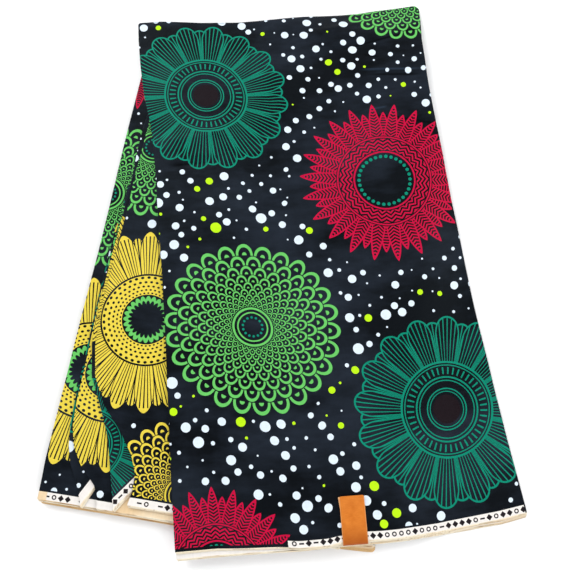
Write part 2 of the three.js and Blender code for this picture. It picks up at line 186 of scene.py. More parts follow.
def distance_outside(outline, x, y):
    """How far each place is outside an outline, and 0 inside it."""
    nearest = np.full(x.shape, np.inf)
    inside = np.zeros(x.shape, bool)
    for start, end in zip(outline, np.roll(outline, -1, axis=0)):
        edge = end - start
        to_x, to_y = x - start[0], y - start[1]
        share = np.clip((to_x * edge[0] + to_y * edge[1]) / (edge @ edge), 0, 1)
        off = np.hypot(to_x - share * edge[0], to_y - share * edge[1])
        nearest = np.minimum(nearest, off)
        if start[1] != end[1]:
            crosses = (start[1] > y) != (end[1] > y)
            inside ^= crosses & (x < edge[0] * (y - start[1]) / edge[1] + start[0])
    return np.where(inside, 0, nearest)


def pile_height(x, y, pieces=None):
    """How high the pile holds up what is laid on it."""
    height = np.zeros(np.shape(x))
    for outline, thickness in pile if pieces is None else pieces:
        past = distance_outside(outline, x, y) - BRIDGE
        height += (thickness + GAP) * (1 - smoothstep(past, 0, DROP))
    return height


def ripples(across, up, size, seed):
    """Smooth waves from 0 to 1, about size long, that run in several directions."""
    chance = np.random.default_rng(seed)
    total = np.zeros(np.broadcast(across, up).shape)
    waves = 6
    for _ in range(waves):
        angle, phase = chance.uniform(0, 2 * math.pi, 2)
        length = size * chance.uniform(0.7, 1.6)
        along = across * math.cos(angle) + up * math.sin(angle)
        total += np.sin(along * 2 * math.pi / length + phase)
    return 0.5 + total / (2 * waves)


# Soft ridges across the front: where each runs from and to in its frame, its height and its spread
RIDGES = [
    {"from": (20, 432), "to": (150, 448), "height": 1.5, "spread": 15},
    {"from": (215, 548), "to": (335, 560), "height": 1.6, "spread": 14},
    {"from": (235, 512), "to": (338, 506), "height": 1.3, "spread": 12},
    {"from": (40, 330), "to": (300, 318), "height": 1.1, "spread": 20},
    {"from": (60, 140), "to": (330, 152), "height": 1.2, "spread": 22},
]
# Sharper creases, which the cloth keeps from its folding. A pale one gets a line of painted highlight
# and a dark one a line of painted shade. A height below 0 is a furrow.
CREASES = [
    {"from": (235, 531), "to": (328, 546), "height": -1.0, "spread": 2.4, "line": "dark"},
    {"from": (254, 503), "to": (332, 493), "height": 0.7, "spread": 2.6, "line": "pale"},
    {"from": (263, 496), "to": (329, 487), "height": -0.6, "spread": 2.8, "line": "dark"},
    {"from": (262, 522), "to": (281, 515), "height": -0.5, "spread": 4.0, "line": "dark"},
    {"from": (258, 449), "to": (280, 450), "height": 0.5, "spread": 4.0, "line": "pale"},
    {"from": (256, 443), "to": (300, 434), "height": -0.7, "spread": 3.6, "line": "dark"},
    {"from": (290, 437), "to": (333, 423), "height": -0.8, "spread": 3.4, "line": "dark"},
    {"from": (290, 425), "to": (333, 411), "height": -0.9, "spread": 2.8, "line": "dark"},
    {"from": (28, 404), "to": (80, 408), "height": -0.8, "spread": 2.6, "line": "dark"},
    {"from": (30, 414), "to": (72, 418), "height": 0.6, "spread": 4.0, "line": None},
    {"from": (18, 436), "to": (80, 441), "height": 0.8, "spread": 4.0, "line": None},
    {"from": (190, 552), "to": (262, 566), "height": 0.9, "spread": 4.5, "line": None},
    {"from": (262, 566), "to": (330, 572), "height": 0.7, "spread": 3.5, "line": None},
    {"from": (120, 470), "to": (230, 452), "height": 0.55, "spread": 5.0, "line": None},
    {"from": (8, 300), "to": (60, 312), "height": 0.6, "spread": 4.0, "line": None},
    {"from": (245, 398), "to": (331, 384), "height": 0.6, "spread": 4.5, "line": None},
    {"from": (262, 262), "to": (330, 276), "height": 0.5, "spread": 4.0, "line": None},
    {"from": (30, 205), "to": (120, 196), "height": 0.5, "spread": 6.0, "line": None},
    {"from": (205, 96), "to": (332, 88), "height": 0.6, "spread": 5.0, "line": None},
    {"from": (12, 60), "to": (90, 74), "height": 0.5, "spread": 5.0, "line": None},
]


def swell(lines, across, up):
    """The height of a list of ridges, each highest along its line and fading to its ends."""
    height = np.zeros(np.broadcast(across, up).shape)
    for line in lines:
        start, end = np.array(line["from"], float), np.array(line["to"], float)
        edge = end - start
        share = ((across - start[0]) * edge[0] + (up - start[1]) * edge[1]) / (edge @ edge)
        held = np.clip(share, 0, 1)
        off = np.hypot(across - start[0] - held * edge[0], up - start[1] - held * edge[1])
        height += line["height"] * np.exp(-((off / line["spread"]) ** 2))
    return height


# The low waves of cloth that lies loosely, and the puff of its doubled folds
FRONT_WAVES = [{"height": 0.9, "size": 120, "seed": 4}, {"height": 0.5, "size": 46, "seed": 9}]
FAN_WAVES = {"height": 0.35, "size": 70}
FRONT_PUFF = 0.4
FAN_PUFF = {"height": 0.5, "size": 90}
PUFF_WIDTH = 5
UNDER_PANEL_FOLLOWS = 0.75  # of the front's own rise


def front_lift(across, up):
    """How far the front stands above what it lies on."""
    soft = sum(wave["height"] * ripples(across, up, wave["size"], wave["seed"]) for wave in FRONT_WAVES)
    return np.maximum(swell(RIDGES, across, up) + swell(CREASES, across, up) + soft, 0)


def under_lift(across, up):
    """The same for the panel under it, which follows the front where that rises."""
    return UNDER_PANEL_FOLLOWS * front_lift(across, up)


def fold_puff(from_edge, height):
    """A doubled fold stands up a little along its edge."""
    return height * np.exp(-((from_edge / PUFF_WIDTH) ** 2))


# How a sheet's rim runs from its upper face to its lower one: out from its outline, and up from the
# middle of its thickness. A fold is round. At the hem two cut edges lie one over the other.
FOLD_RIM = [
    (-0.34, 0.51),
    (-0.16, 0.39),
    (-0.04, 0.21),
    (0, 0),
    (-0.04, -0.21),
    (-0.16, -0.39),
    (-0.34, -0.51),
]
HEM_RIM = [
    (-0.15, 0.50),
    (0.0, 0.30),
    (-0.12, 0.10),
    (-0.9, 0.03),
    (0.75, -0.08),
    (0.95, -0.28),
    (0.80, -0.50),
]
FACE_INSET = 0.75
HEM_WOBBLE = {"reach": 0.5, "size": 37}
ROW_STEP = 2.0
COLUMN_STEP = 3.8
SIDE_COLUMNS = [0, 2.0, 4.2]  # closer together along each side


def corner_stations(radius):
    """Distances from a side's end at which its rounded corner has points."""
    return [radius * (1 - math.cos(math.radians(a))) for a in (0, 22.5, 45, 67.5, 90)]


def spaced(length, from_start, from_end, step):
    """Places from 0 to length: the given distances from its ends, and even steps between them."""
    first, last = from_start[-1], length - from_end[-1]
    middle = np.linspace(first, last, max(2, round((last - first) / step)) + 1)
    return np.concatenate([from_start[:-1], middle, length - np.array(from_end)[-2::-1]])


def corner_inset(radius, from_end):
    into = np.clip(radius - from_end, 0, radius)
    return radius - np.sqrt(radius**2 - into**2)


def rim_of_grid(tall, wide):
    """The rows and the columns of the points round a grid, which start along its head."""
    ring = (
        [(0, j) for j in range(wide - 1)]
        + [(i, wide - 1) for i in range(tall - 1)]
        + [(tall - 1, j) for j in range(wide - 1, 0, -1)]
        + [(i, 0) for i in range(tall - 1, 0, -1)]
    )
    return [np.array(k) for k in zip(*ring)]


def sheet_faces(tall, wide, rows, columns):
    """The faces of an upper and a lower grid, and of the rings of points that join their rims."""
    count = tall * wide
    faces = []
    for i in range(tall - 1):
        for j in range(wide - 1):
            a = i * wide + j
            faces.append((a, a + wide, a + wide + 1, a + 1))
            faces.append((count + a, count + a + 1, count + a + wide + 1, count + a + wide))
    around = len(rows)
    upper_rim = (rows * wide + columns).tolist()
    rings = [upper_rim]
    rings += [[2 * count + k * around + n for n in range(around)] for k in range(len(FOLD_RIM))]
    rings += [[count + n for n in upper_rim]]
    for above, below in zip(rings, rings[1:]):
        for n in range(around):
            m = (n + 1) % around
            faces.append((above[m], below[m], below[n], above[n]))
    return faces


def sheet_mesh(turned, left, right, head, hem, corners, lift, cloth_uv):
    """A closed sheet of doubled cloth laid on the pile. left(up) and right(up) are its folds, and
    head(share) and hem(share) its ends. Returns points, faces and the points' places on the cloth."""
    length = float(head(0.0) - hem(0.0))
    head_stations, hem_stations = (corner_stations(max(corners[end])) for end in ("head", "hem"))
    downs = spaced(length, head_stations, hem_stations, ROW_STEP) / length
    width = float(right(length / 2) - left(length / 2))
    shares = spaced(width, SIDE_COLUMNS, SIDE_COLUMNS, COLUMN_STEP) / width
    down, share = np.meshgrid(downs, shares, indexing="ij")
    up = head(share) + (hem(share) - head(share)) * down
    drawn_in = [
        corner_inset(at_head, head(share) - up) + corner_inset(at_hem, up - hem(share))
        for at_head, at_hem in zip(corners["head"], corners["hem"])
    ]
    low, high = left(up) + drawn_in[0], right(up) - drawn_in[1]
    across = low + (high - low) * share
    x, y = turned.on_table(across, up)
    from_side = np.minimum(across - low, high - across)
    base = pile_height(x, y) + lift(across, up, from_side)

    tall, wide = down.shape
    rows, columns = rim_of_grid(tall, wide)
    edge = np.stack([across[rows, columns], up[rows, columns]], axis=1)
    tangent = np.roll(edge, -1, axis=0) - np.roll(edge, 1, axis=0)
    tangent /= np.linalg.norm(tangent, axis=1, keepdims=True)
    outward = np.stack([-tangent[:, 1], tangent[:, 0]], axis=1)
    at_hem = rows == tall - 1
    waves = ripples(edge[:, 0], 0, HEM_WOBBLE["size"], seed=int(edge[0, 0]))
    wobble = HEM_WOBBLE["reach"] * (waves - 0.5)

    flat = np.stack([across, up, base], axis=2)
    flat[rows, columns, :2] -= outward * FACE_INSET
    upper, lower = flat.copy(), flat.copy()
    upper[..., 2] += SHEET
    points = [upper.reshape(-1, 3), lower.reshape(-1, 3)]
    places = [np.stack([across, up], axis=2).reshape(-1, 2)] * 2
    for fold, cut in zip(FOLD_RIM, HEM_RIM):
        out = np.where(at_hem, cut[0] + wobble, fold[0])
        rise = np.where(at_hem, cut[1], fold[1])
        moved = edge + outward * out[:, None]
        z = base[rows, columns] + SHEET / 2 + rise
        points.append(np.column_stack([moved, z]))
        places.append(moved)

    lay_down(turned, edge[::3], SHEET)
    placed = turned.placed(np.concatenate(points))
    return placed, sheet_faces(tall, wide, rows, columns), cloth_uv(np.concatenate(places))


def make_piece(name, points, faces, uv, uv_name="cloth"):
    """A smooth mesh object in metres, moved from the laid-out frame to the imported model's."""
    mesh = bpy.data.meshes.new(name)
    mesh.from_pydata(in_metres(points + heap_shift).tolist(), [], faces)
    layer = mesh.uv_layers.new(name=uv_name)
    corners = np.empty(len(mesh.loops), int)
    mesh.loops.foreach_get("vertex_index", corners)
    layer.data.foreach_set("uv", in_metres(uv[corners]).ravel())
    mesh.polygons.foreach_set("use_smooth", [True] * len(mesh.polygons))
    mesh.update()
    piece = bpy.data.objects.new(name, mesh)
    bpy.context.scene.collection.objects.link(piece)
    return piece


def left_fold(name):
    return lambda up: np.interp(up, LEFT_FOLDS["up"], LEFT_FOLDS[name])


def straight_uv(name, hem):
    """Places on the cloth for a panel whose selvedge is its hem."""

    def uv(places):
        along = PLACE_ON_CLOTH[name] + places[:, 0]
        return np.column_stack([along, PANEL_LENGTH - (places[:, 1] - hem(places[:, 0]))])

    return uv


def turned_uv(name, corner, slope):
    """Places on the cloth for a corner turned up, whose selvedge runs up to the right."""
    angle = math.atan(slope)

    def uv(places):
        right, up = places[:, 0] - corner[0], places[:, 1] - corner[1]
        along = PLACE_ON_CLOTH[name] + right * math.cos(angle) + up * math.sin(angle)
        from_hem = up * math.cos(angle) - right * math.sin(angle)
        return np.column_stack([along, PANEL_LENGTH - from_hem])

    return uv


# The fanned pieces, from the stack up: the height of each one's hem at its left fold and how far it has
# risen at its right end, the height of its head, and how far across it reaches under the next ones
FANNED = {
    "stack_top_panel": {"hem": 7, "rise": -3, "head": 546, "reach": 300},
    "turned_corner_first": {"hem": 6, "rise": 60, "head": 300, "reach": 75},
    "fan_panel_first": {"hem": 6.5, "rise": -3, "head": 543, "reach": 262},
    "turned_corner_second": {"hem": 7.6, "rise": 71, "head": 470, "reach": 130},
    "fan_panel_second": {"hem": 14, "rise": -3, "head": 540, "reach": 246},
}


def fanned_sheet(name, seed):
    """One fanned piece. Its left fold and its hem show, and its other sides lie under the next ones."""
    row = FANNED[name]
    left = left_fold(name)
    first = float(left(row["hem"]))
    slope = row["rise"] / (row["reach"] - first)
    if name.startswith("turned"):
        cloth_uv = turned_uv(name, (first, row["hem"]), slope)
    else:
        cloth_uv = straight_uv(name, lambda across: row["hem"] + slope * (across - first))

    def hem(share):
        """The hem is straight and the left fold isn't, so its height at a share is searched for."""
        low, high = 0 * share, 1 + 0 * share
        halvings = 24
        for _ in range(halvings):
            made = (low + high) / 2
            fold = left(row["hem"] + row["rise"] * made)
            short = made * (row["reach"] - first) < fold + (row["reach"] - fold) * share - first
            low, high = np.where(short, made, low), np.where(short, high, made)
        return row["hem"] + row["rise"] * low

    def lift(across, up, from_side):
        waves = FAN_WAVES["height"] * ripples(across, up, FAN_WAVES["size"], seed)
        uneven = 0.5 + ripples(across, up, FAN_PUFF["size"], seed + 50)
        return waves + fold_puff(across - left(up), FAN_PUFF["height"]) * uneven

    return sheet_mesh(
        STACK,
        left,
        lambda up: row["reach"] + 0 * up,
        lambda share: row["head"] + 0 * share,
        hem,
        FAN_CORNERS,
        lift,
        cloth_uv,
    )


def front_sheet(name, hem_column, lift, sides_in=0, head_in=0):
    """One of the front's two panels, drawn in a little at its sides and its head if it is the lower."""

    def hem(across):
        return np.interp(across, FRONT_HEM["across"], FRONT_HEM[hem_column])

    return sheet_mesh(
        FRONT,
        lambda up: np.interp(up, FRONT_SIDES["up"], FRONT_SIDES["left"]) + sides_in,
        lambda up: PANEL_WIDTH - np.interp(up, FRONT_SIDES["up"], FRONT_SIDES["right"]) - sides_in,
        lambda share: PANEL_LENGTH
        + np.interp(share * PANEL_WIDTH, FRONT_HEAD["across"], FRONT_HEAD["past"])
        - head_in,
        lambda share: hem(share * PANEL_WIDTH),
        FRONT_CORNERS,
        lift,
        straight_uv(name, hem),
    )


def core_outline(step_in, side_in, wobble):
    """One fold's outline in the squared-up stack, as places across and up, hem first."""
    top_panel = left_fold("stack_top_panel")

    def hem(across):
        return step_in + np.interp(across, CORE_HEM["across"], CORE_HEM["up"]) + wobble(across)

    def left(up):
        return top_panel(up) - top_panel(0) + side_in

    def right(up):
        return CORE_WIDTH - CORE_TAPER * up - side_in

    head = CORE_LENGTH - side_in
    radius = CORE_CORNER
    arc_steps, end_steps, side_steps = 8, 70, 90

    def arc(across, up, turn, in_x, in_y):
        angles = np.radians(turn + 90 * np.arange(arc_steps + 1) / arc_steps)
        return np.column_stack(
            [
                across + in_x * radius + radius * np.cos(angles),
                up + in_y * radius + radius * np.sin(angles),
            ]
        )

    inner = np.linspace(0, 1, end_steps + 1)[1:-1]
    sides = np.linspace(0, 1, side_steps + 1)[1:-1]
    hem_across = left(0) + radius + inner * (right(0) - left(0) - 2 * radius)
    right_up = hem(CORE_WIDTH) + radius + sides * (head - hem(CORE_WIDTH) - 2 * radius)
    head_across = right(head) - radius - inner * (right(head) - left(head) - 2 * radius)
    left_up = head - radius - sides * (head - hem(0) - 2 * radius)
    return np.concatenate(
        [
            arc(left(0), hem(0), 180, 1, 1),
            np.column_stack([hem_across, hem(hem_across)]),
            arc(right(0), hem(CORE_WIDTH), 270, -1, 1),
            np.column_stack([right(right_up), right_up]),
            arc(right(head), head, 0, -1, -1),
            np.column_stack([head_across, np.full(len(head_across), head)]),
            arc(left(head), head, 90, 1, -1),
            np.column_stack([left(left_up), left_up]),
        ]
    )


# The edge of one fold in the stack, from its groove up: in from its outline, and up as a share
CORE_RIM = [
    (1.0, 0),
    (0.12, 0.10),
    (0, 0.24),
    (0.12, 0.38),
    (0.6, 0.48),
    (0.22, 0.58),
    (0.1, 0.74),
    (0.22, 0.90),
]


def stack_core_mesh():
    """The squared-up stack: one solid, whose folds lie stepped and a little uneven at its edges."""
    points, places = [], []

    def add_ring(fold, inward, height, from_edge):
        def wobble(across):
            waves = ripples(across, 0, CORE_WOBBLE["size"], seed=20 + fold)
            return CORE_WOBBLE["reach"] * (waves - 0.5)

        ring = core_outline(fold * HEM_STEP + inward, fold * SIDE_STEP + inward, wobble)
        points.append(np.column_stack([ring, np.full(len(ring), height)]))
        at_hem = ring[:, 1] < CORE_HEM_BAND
        from_hem = np.where(at_hem, from_edge, ring[:, 1])
        along = ring[:, 0] + np.where(at_hem, 0, fold * CORE_PRINT_STEP)
        places.append(np.column_stack([along, from_hem]))
        return ring

    for fold in range(CORE_FOLDS):
        for inward, share in CORE_RIM:
            ring = add_ring(fold, inward, (fold + share) * CORE_PITCH, max(0.2, inward * 2))
            if (fold, inward) == (CORE_FOLDS - 1, 0):
                top_outline = ring
    add_ring(CORE_FOLDS, 1.0, CORE_FOLDS * CORE_PITCH, 3)
    around = len(points[0])
    levels = len(points)
    faces = []
    for level in range(levels - 1):
        for k in range(around):
            a, b = level * around + k, level * around + (k + 1) % around
            faces.append((a, b, b + around, a + around))
    middle = np.array([PANEL_WIDTH / 2, CORE_LENGTH / 2])
    bottom_middle = levels * around
    points.append(np.array([[*middle, 0], [*middle, CORE_FOLDS * CORE_PITCH]]))
    places.append(np.array([middle, middle]))
    top_ring = (levels - 1) * around
    for k in range(around):
        n = (k + 1) % around
        faces.append((n, k, bottom_middle))
        faces.append((top_ring + k, top_ring + n, bottom_middle + 1))

    lay_down(STACK, top_outline[::4], CORE_FOLDS * CORE_PITCH)
    places = np.concatenate(places)
    uv = np.column_stack([PLACE_ON_CLOTH["stack_core"] + places[:, 0], PANEL_LENGTH - places[:, 1]])
    return STACK.placed(np.concatenate(points)), faces, uv


def ribbon_mesh(stations, thickness):
    """A closed ribbon with softened edges, along a path of stations. Each has its place up the tab, its
    two sides, the height of its middle and which way its outer face looks. Returns points, faces and
    places on the ribbon: across it and along it."""
    half = thickness / 2
    soft = 0.8 * half
    # The ribbon's section, from its middle: a share of its width, how far in from that, and how far out
    section = []
    for side, face, turn in ((1, -1, 270), (1, 1, 0), (-1, 1, 90), (-1, -1, 180)):
        for angle in np.radians([turn, turn + 30, turn + 60, turn + 90]):
            inward = -side * soft + soft * math.cos(angle)
            section.append((side * 0.5, inward, face * (half - soft) + soft * math.sin(angle)))
    across_steps = 10
    dense = []
    for start, end in zip(section, section[1:] + section[:1]):
        count = across_steps if start[0] != end[0] else 1
        dense += [np.array(start) + (np.array(end) - np.array(start)) * k / count for k in range(count)]
    section = np.array(dense)
    around = len(section)

    points, uv = [], []
    travelled, last = 0.0, None
    for station in stations:
        left, right = station["sides"]
        across = (left + right) / 2 + section[:, 0] * (right - left) + section[:, 1]
        out_up, out_z = station["facing"]
        up = np.full(around, float(station["up"]))
        z = station["height"](across, up) + half
        points.append(np.column_stack([across, up + section[:, 2] * out_up, z + section[:, 2] * out_z]))
        middle = np.array([station["up"], float(z.mean())])
        travelled += 0.0 if last is None else float(np.linalg.norm(middle - last))
        last = middle
        uv.append(np.column_stack([across, np.full(around, travelled)]))
    faces = []
    for i in range(len(stations) - 1):
        for k in range(around):
            a, b = i * around + k, i * around + (k + 1) % around
            faces.append((a, a + around, b + around, b))
    last_ring = (len(stations) - 1) * around
    faces.append(tuple(range(around)))
    faces.append(tuple(last_ring + k for k in reversed(range(around))))
    return np.concatenate(points), faces, np.concatenate(uv)


def label_mesh(under_pieces):
    """A tab folded round the upper panel's hem: the leaf under it, a half turn and the leaf on top,
    which has a second layer that shows a little at its left."""
    width = LABEL["width"]
    bulge = 1.5
    corner = 1.8
    stiff = 2.0  # the upper leaf starts level over this much
    curl = {"height": 0.6, "from": 28, "tilt": 0.8}
    under_steps, turn_steps, over_steps, backing_steps = 7, 14, 23, 8

    def under_height(across, up):
        x, y = TAB.on_table(across, np.maximum(up, 0))
        return pile_height(x, y, under_pieces) + under_lift(*FRONT.from_table(x, y))

    def over_height(across, up):
        x, y = TAB.on_table(across, np.maximum(up, stiff))
        tilt = 1 - curl["tilt"] * (across / width - 0.5)
        curled = curl["height"] * smoothstep(up, curl["from"], LABEL["over_leaf"]) * tilt
        return pile_height(x, y) + front_lift(*FRONT.from_table(x, y)) + BACKING["thickness"] + curled

    def turned_height(rise):
        return lambda across, up: (1 - rise) * under_height(across, up) + rise * over_height(across, up)

    stations = [
        {"up": up, "sides": (0, width), "height": under_height, "facing": (0, -1)}
        for up in np.linspace(LABEL["under_leaf"], 0, under_steps + 1)
    ]
    for angle in np.linspace(0, math.pi, turn_steps + 1)[1:-1]:
        stations.append(
            {
                "up": -bulge * math.sin(angle),
                "sides": (0, width),
                "height": turned_height((1 - math.cos(angle)) / 2),
                "facing": (-math.sin(angle), -math.cos(angle)),
            }
        )
    straight = np.linspace(0, LABEL["over_leaf"] - corner, over_steps + 1)
    rounded = LABEL["over_leaf"] - np.array(corner_stations(corner))[-2::-1]
    for up in (*straight, *rounded):
        inset = float(corner_inset(corner, LABEL["over_leaf"] - up))
        sides = (inset, width - inset)
        stations.append({"up": up, "sides": sides, "height": over_height, "facing": (0, 1)})
    tab = ribbon_mesh(stations, LABEL["thickness"])

    def backing_height(across, up):
        return over_height(across, up) - BACKING["thickness"] - BACKING["gap"]

    layer = []
    end = LABEL["over_leaf"] - BACKING_IN["end"]
    for up in np.linspace(end - BACKING["length"], end, backing_steps + 1):
        shows = BACKING["shows"] * (1 - (end - up) / BACKING["length"])
        sides = (BACKING_IN["left"] - shows, width - BACKING_IN["right"])
        layer.append({"up": up, "sides": sides, "height": backing_height, "facing": (0, 1)})
    under = ribbon_mesh(layer, BACKING["thickness"])

    faces = tab[1] + [tuple(k + len(tab[0]) for k in face) for face in under[1]]
    uv = np.concatenate([tab[2], under[2] - [0, BACKING_ASIDE]])
    return TAB.placed(np.concatenate([tab[0], under[0]])), faces, uv


# ---------------------------------------------------------------- node trees


def paint(red, green, blue):
    """A colour given in the usual 0 to 255, as the linear one that a shader takes."""
    linear = []
    for part in (red, green, blue):
        share = part / 255
        linear.append(share / 12.92 if share <= 0.04045 else ((share + 0.055) / 1.055) ** 2.4)
    return (*linear, 1)


class Wire:
    """A number on its way through a node tree. Sums and comparisons on it add the Math nodes."""

    def __init__(self, tree, socket):
        self.tree = tree
        self.socket = socket

    def math(self, operation, *others):
        node = self.tree.nodes.new("ShaderNodeMath")
        node.operation = operation
        for place, value in enumerate((self, *others)):
            if isinstance(value, Wire):
                self.tree.links.new(value.socket, node.inputs[place])
            else:
                node.inputs[place].default_value = value
        return Wire(self.tree, node.outputs[0])

    def __add__(self, other):
        return self.math("ADD", other)

    def __sub__(self, other):
        return self.math("SUBTRACT", other)

    def __rsub__(self, other):
        return self.math("MULTIPLY_ADD", -1, other)

    def __mul__(self, other):
        return self.math("MULTIPLY", other)

    def __truediv__(self, other):
        return self.math("DIVIDE", other)

    def __pow__(self, other):
        return self.math("POWER", other)

    def __lt__(self, other):
        return self.math("LESS_THAN", other)

    def __gt__(self, other):
        return self.math("GREATER_THAN", other)

    def __abs__(self):
        return self.math("ABSOLUTE")

    def fract(self):
        return self.math("FRACT")

    def floor(self):
        return self.math("FLOOR")

    def at_least(self, other):
        return self.math("MAXIMUM", other)

    def at_most(self, other):
        return self.math("MINIMUM", other)

    def clamped(self):
        """The same, held between 0 and 1."""
        return self.at_least(0).at_most(1)

    def either(self, mask):
        """1 where this mask or another one is 1."""
        return self.at_least(mask)

    def near(self, middle, half_width):
        """1 within half_width of a middle value."""
        return self.math("COMPARE", middle, half_width)


class PlaceWire:
    """A place on its way through a node tree, by its x and y."""

    def __init__(self, tree, socket):
        split = tree.nodes.new("ShaderNodeSeparateXYZ")
        tree.links.new(socket, split.inputs[0])
        self.x = Wire(tree, split.outputs["X"])
        self.y = Wire(tree, split.outputs["Y"])


def joined(x, y):
    """A vector socket from two numbers."""
    node = x.tree.nodes.new("ShaderNodeCombineXYZ")
    x.tree.links.new(x.socket, node.inputs["X"])
    x.tree.links.new(y.socket, node.inputs["Y"])
    return node.outputs[0]


def output(node, label):
    """A number that a node gives."""
    return Wire(node.id_data, node.outputs[label])


def hypotenuse(x, y):
    return (x * x + y * y).math("SQRT")


def new_group(name, inputs, outputs):
    """An empty node group with named sockets. Returns it with its input and output nodes."""
    tree = bpy.data.node_groups.new(name, "ShaderNodeTree")
    for label, kind in inputs.items():
        tree.interface.new_socket(label, in_out="INPUT", socket_type=f"NodeSocket{kind}")
    for label, kind in outputs.items():
        tree.interface.new_socket(label, in_out="OUTPUT", socket_type=f"NodeSocket{kind}")
    return tree, tree.nodes.new("NodeGroupInput"), tree.nodes.new("NodeGroupOutput")


def give_out(result, **values):
    """Sends a group's values out, each to the output of its name."""
    for label, value in values.items():
        result.id_data.links.new(value.socket, result.inputs[label])


def place_group(tree, group, **inputs):
    """A group's node in a tree, with sockets or values on its inputs."""
    node = tree.nodes.new("ShaderNodeGroup")
    node.node_tree = group
    for label, value in inputs.items():
        socket = node.inputs[label]
        if isinstance(value, Wire):
            tree.links.new(value.socket, socket)
        elif isinstance(value, bpy.types.NodeSocket):
            tree.links.new(value, socket)
        else:
            socket.default_value = value
    return node


# The print's repeat along the cloth, and its round motifs: where each lies along and down the cloth
# from the fold at the head, its radius and its kind
REPEAT = 1110
MOTIF_KINDS = ("scales", "daisy", "star", "sunflower", "golden_scales")
ROUND_MOTIFS = [
    {"along": 75, "down": 95, "radius": 94, "kind": "daisy"},
    {"along": 262, "down": 215, "radius": 94, "kind": "star"},
    {"along": 98, "down": 368, "radius": 92, "kind": "scales"},
    {"along": 285, "down": 470, "radius": 96, "kind": "daisy"},
    {"along": 40, "down": 604, "radius": 78, "kind": "star"},
    {"along": 325, "down": -42, "radius": 85, "kind": "scales"},
    {"along": 493, "down": 400, "radius": 98, "kind": "sunflower"},
    {"along": 560, "down": 566, "radius": 74, "kind": "golden_scales"},
    {"along": 462, "down": 205, "radius": 84, "kind": "scales"},
    {"along": 432, "down": 62, "radius": 60, "kind": "star"},
    {"along": 634, "down": 520, "radius": 70, "kind": "daisy"},
    {"along": 797, "down": 452, "radius": 100, "kind": "sunflower"},
    {"along": 775, "down": 258, "radius": 86, "kind": "scales"},
    {"along": 787, "down": 76, "radius": 74, "kind": "star"},
]


def nearest_motif_group():
    """Which round motif a place lies in: its own place in it, with the rim at 1, and its kind."""
    tree, given, result = new_group(
        "nearest_round_motif",
        {"Cloth": "Vector"},
        {"Right": "Float", "Up": "Float", "Distance": "Float", "Kind": "Float"},
    )
    place = PlaceWire(tree, given.outputs["Cloth"])
    best = None
    repeat = in_metres(REPEAT)
    for motif in ROUND_MOTIFS:
        radius = in_metres(motif["radius"])
        away = place.x - in_metres(motif["along"])
        right = away.math("WRAP", repeat / 2, -repeat / 2) / radius
        up = (in_metres(motif["down"]) - place.y) / radius
        distance = hypotenuse(right, up)
        kind = MOTIF_KINDS.index(motif["kind"])
        if best is None:
            best = (right, up, distance, right * 0 + kind)
            continue
        closer = distance < best[2]
        farther = 1 - closer
        best = (
            right * closer + best[0] * farther,
            up * closer + best[1] * farther,
            distance.at_most(best[2]),
            closer * kind + best[3] * farther,
        )
    right, up, distance, kind = best
    give_out(result, Right=right, Up=up, Distance=distance, Kind=kind)
    return tree


def motif_group(name, draw):
    """A round motif. draw(from_middle, turn) gives the masks of its main and its second colour."""
    tree, given, result = new_group(
        name, {"Distance": "Float", "Turn": "Float"}, {"Ink": "Float", "Accent": "Float"}
    )
    ink, accent = draw(output(given, "Distance"), output(given, "Turn"))
    give_out(result, Ink=ink, Accent=accent)
    return tree


def from_spoke(turn, count, offset=0.0):
    """How far a turn is from the nearest of count even spokes, up to half the space between two."""
    return abs((turn * count + offset).fract() - 0.5)


def between(value, low, high):
    return (value > low) * (value < high)


def fine_rings(distance, *rings):
    """Thin rings round the middle, each by its radius and half its line's width."""
    mask = distance * 0
    for at, half_line in rings:
        mask = mask.either(distance.near(at, half_line))
    return mask


def bead_ring(distance, turn, at, count, size):
    """A ring of round beads."""
    aside = from_spoke(turn, count) * (2 * math.pi * at / count)
    return hypotenuse(aside, distance - at) < size


def growing_rings(distance, inmost, growth):
    """Rings that grow outwards by an even factor: which one a place is in, and how far out in it.
    growth is that factor's logarithm."""
    ring = (distance / inmost).math("LOGARITHM", math.e) / growth
    return ring.floor(), ring.fract()


def petal(distance, aside, start, length, half_width, powers):
    """Less than 1 inside a petal and 1 at its outline. Its powers say how square its end is."""
    out = ((distance - start) / length).at_least(0)
    return (aside / half_width) ** powers[0] + out ** powers[1]


def lance_width(distance, start, length, power):
    """Half the width of a lance point, which is broad at its start and ends in a tip."""
    out = ((distance - start) / length).clamped()
    return (1 - out) ** power * 0.5


def draw_scales(distance, turn):
    """Rings of fish scales that grow outwards, round a dark heart with two fine rings."""
    heart, rings, count, squash = 0.24, 9, 26, 0.5
    row, outward = growing_rings(distance, heart, math.log(1 / heart) / rings)
    aside = from_spoke(turn + row * (0.5 / count), count)
    arch = hypotenuse(aside, outward * squash)
    rim_inside, rim_outside, eye = 0.335, 0.465, 0.13
    scales = between(arch, rim_inside, rim_outside).either(arch < eye) * between(distance, heart, 1.0)
    beads = bead_ring(distance, turn, at=0.11, count=14, size=0.014)
    return scales.either(fine_rings(distance, (0.215, 0.012), (0.165, 0.008))), beads


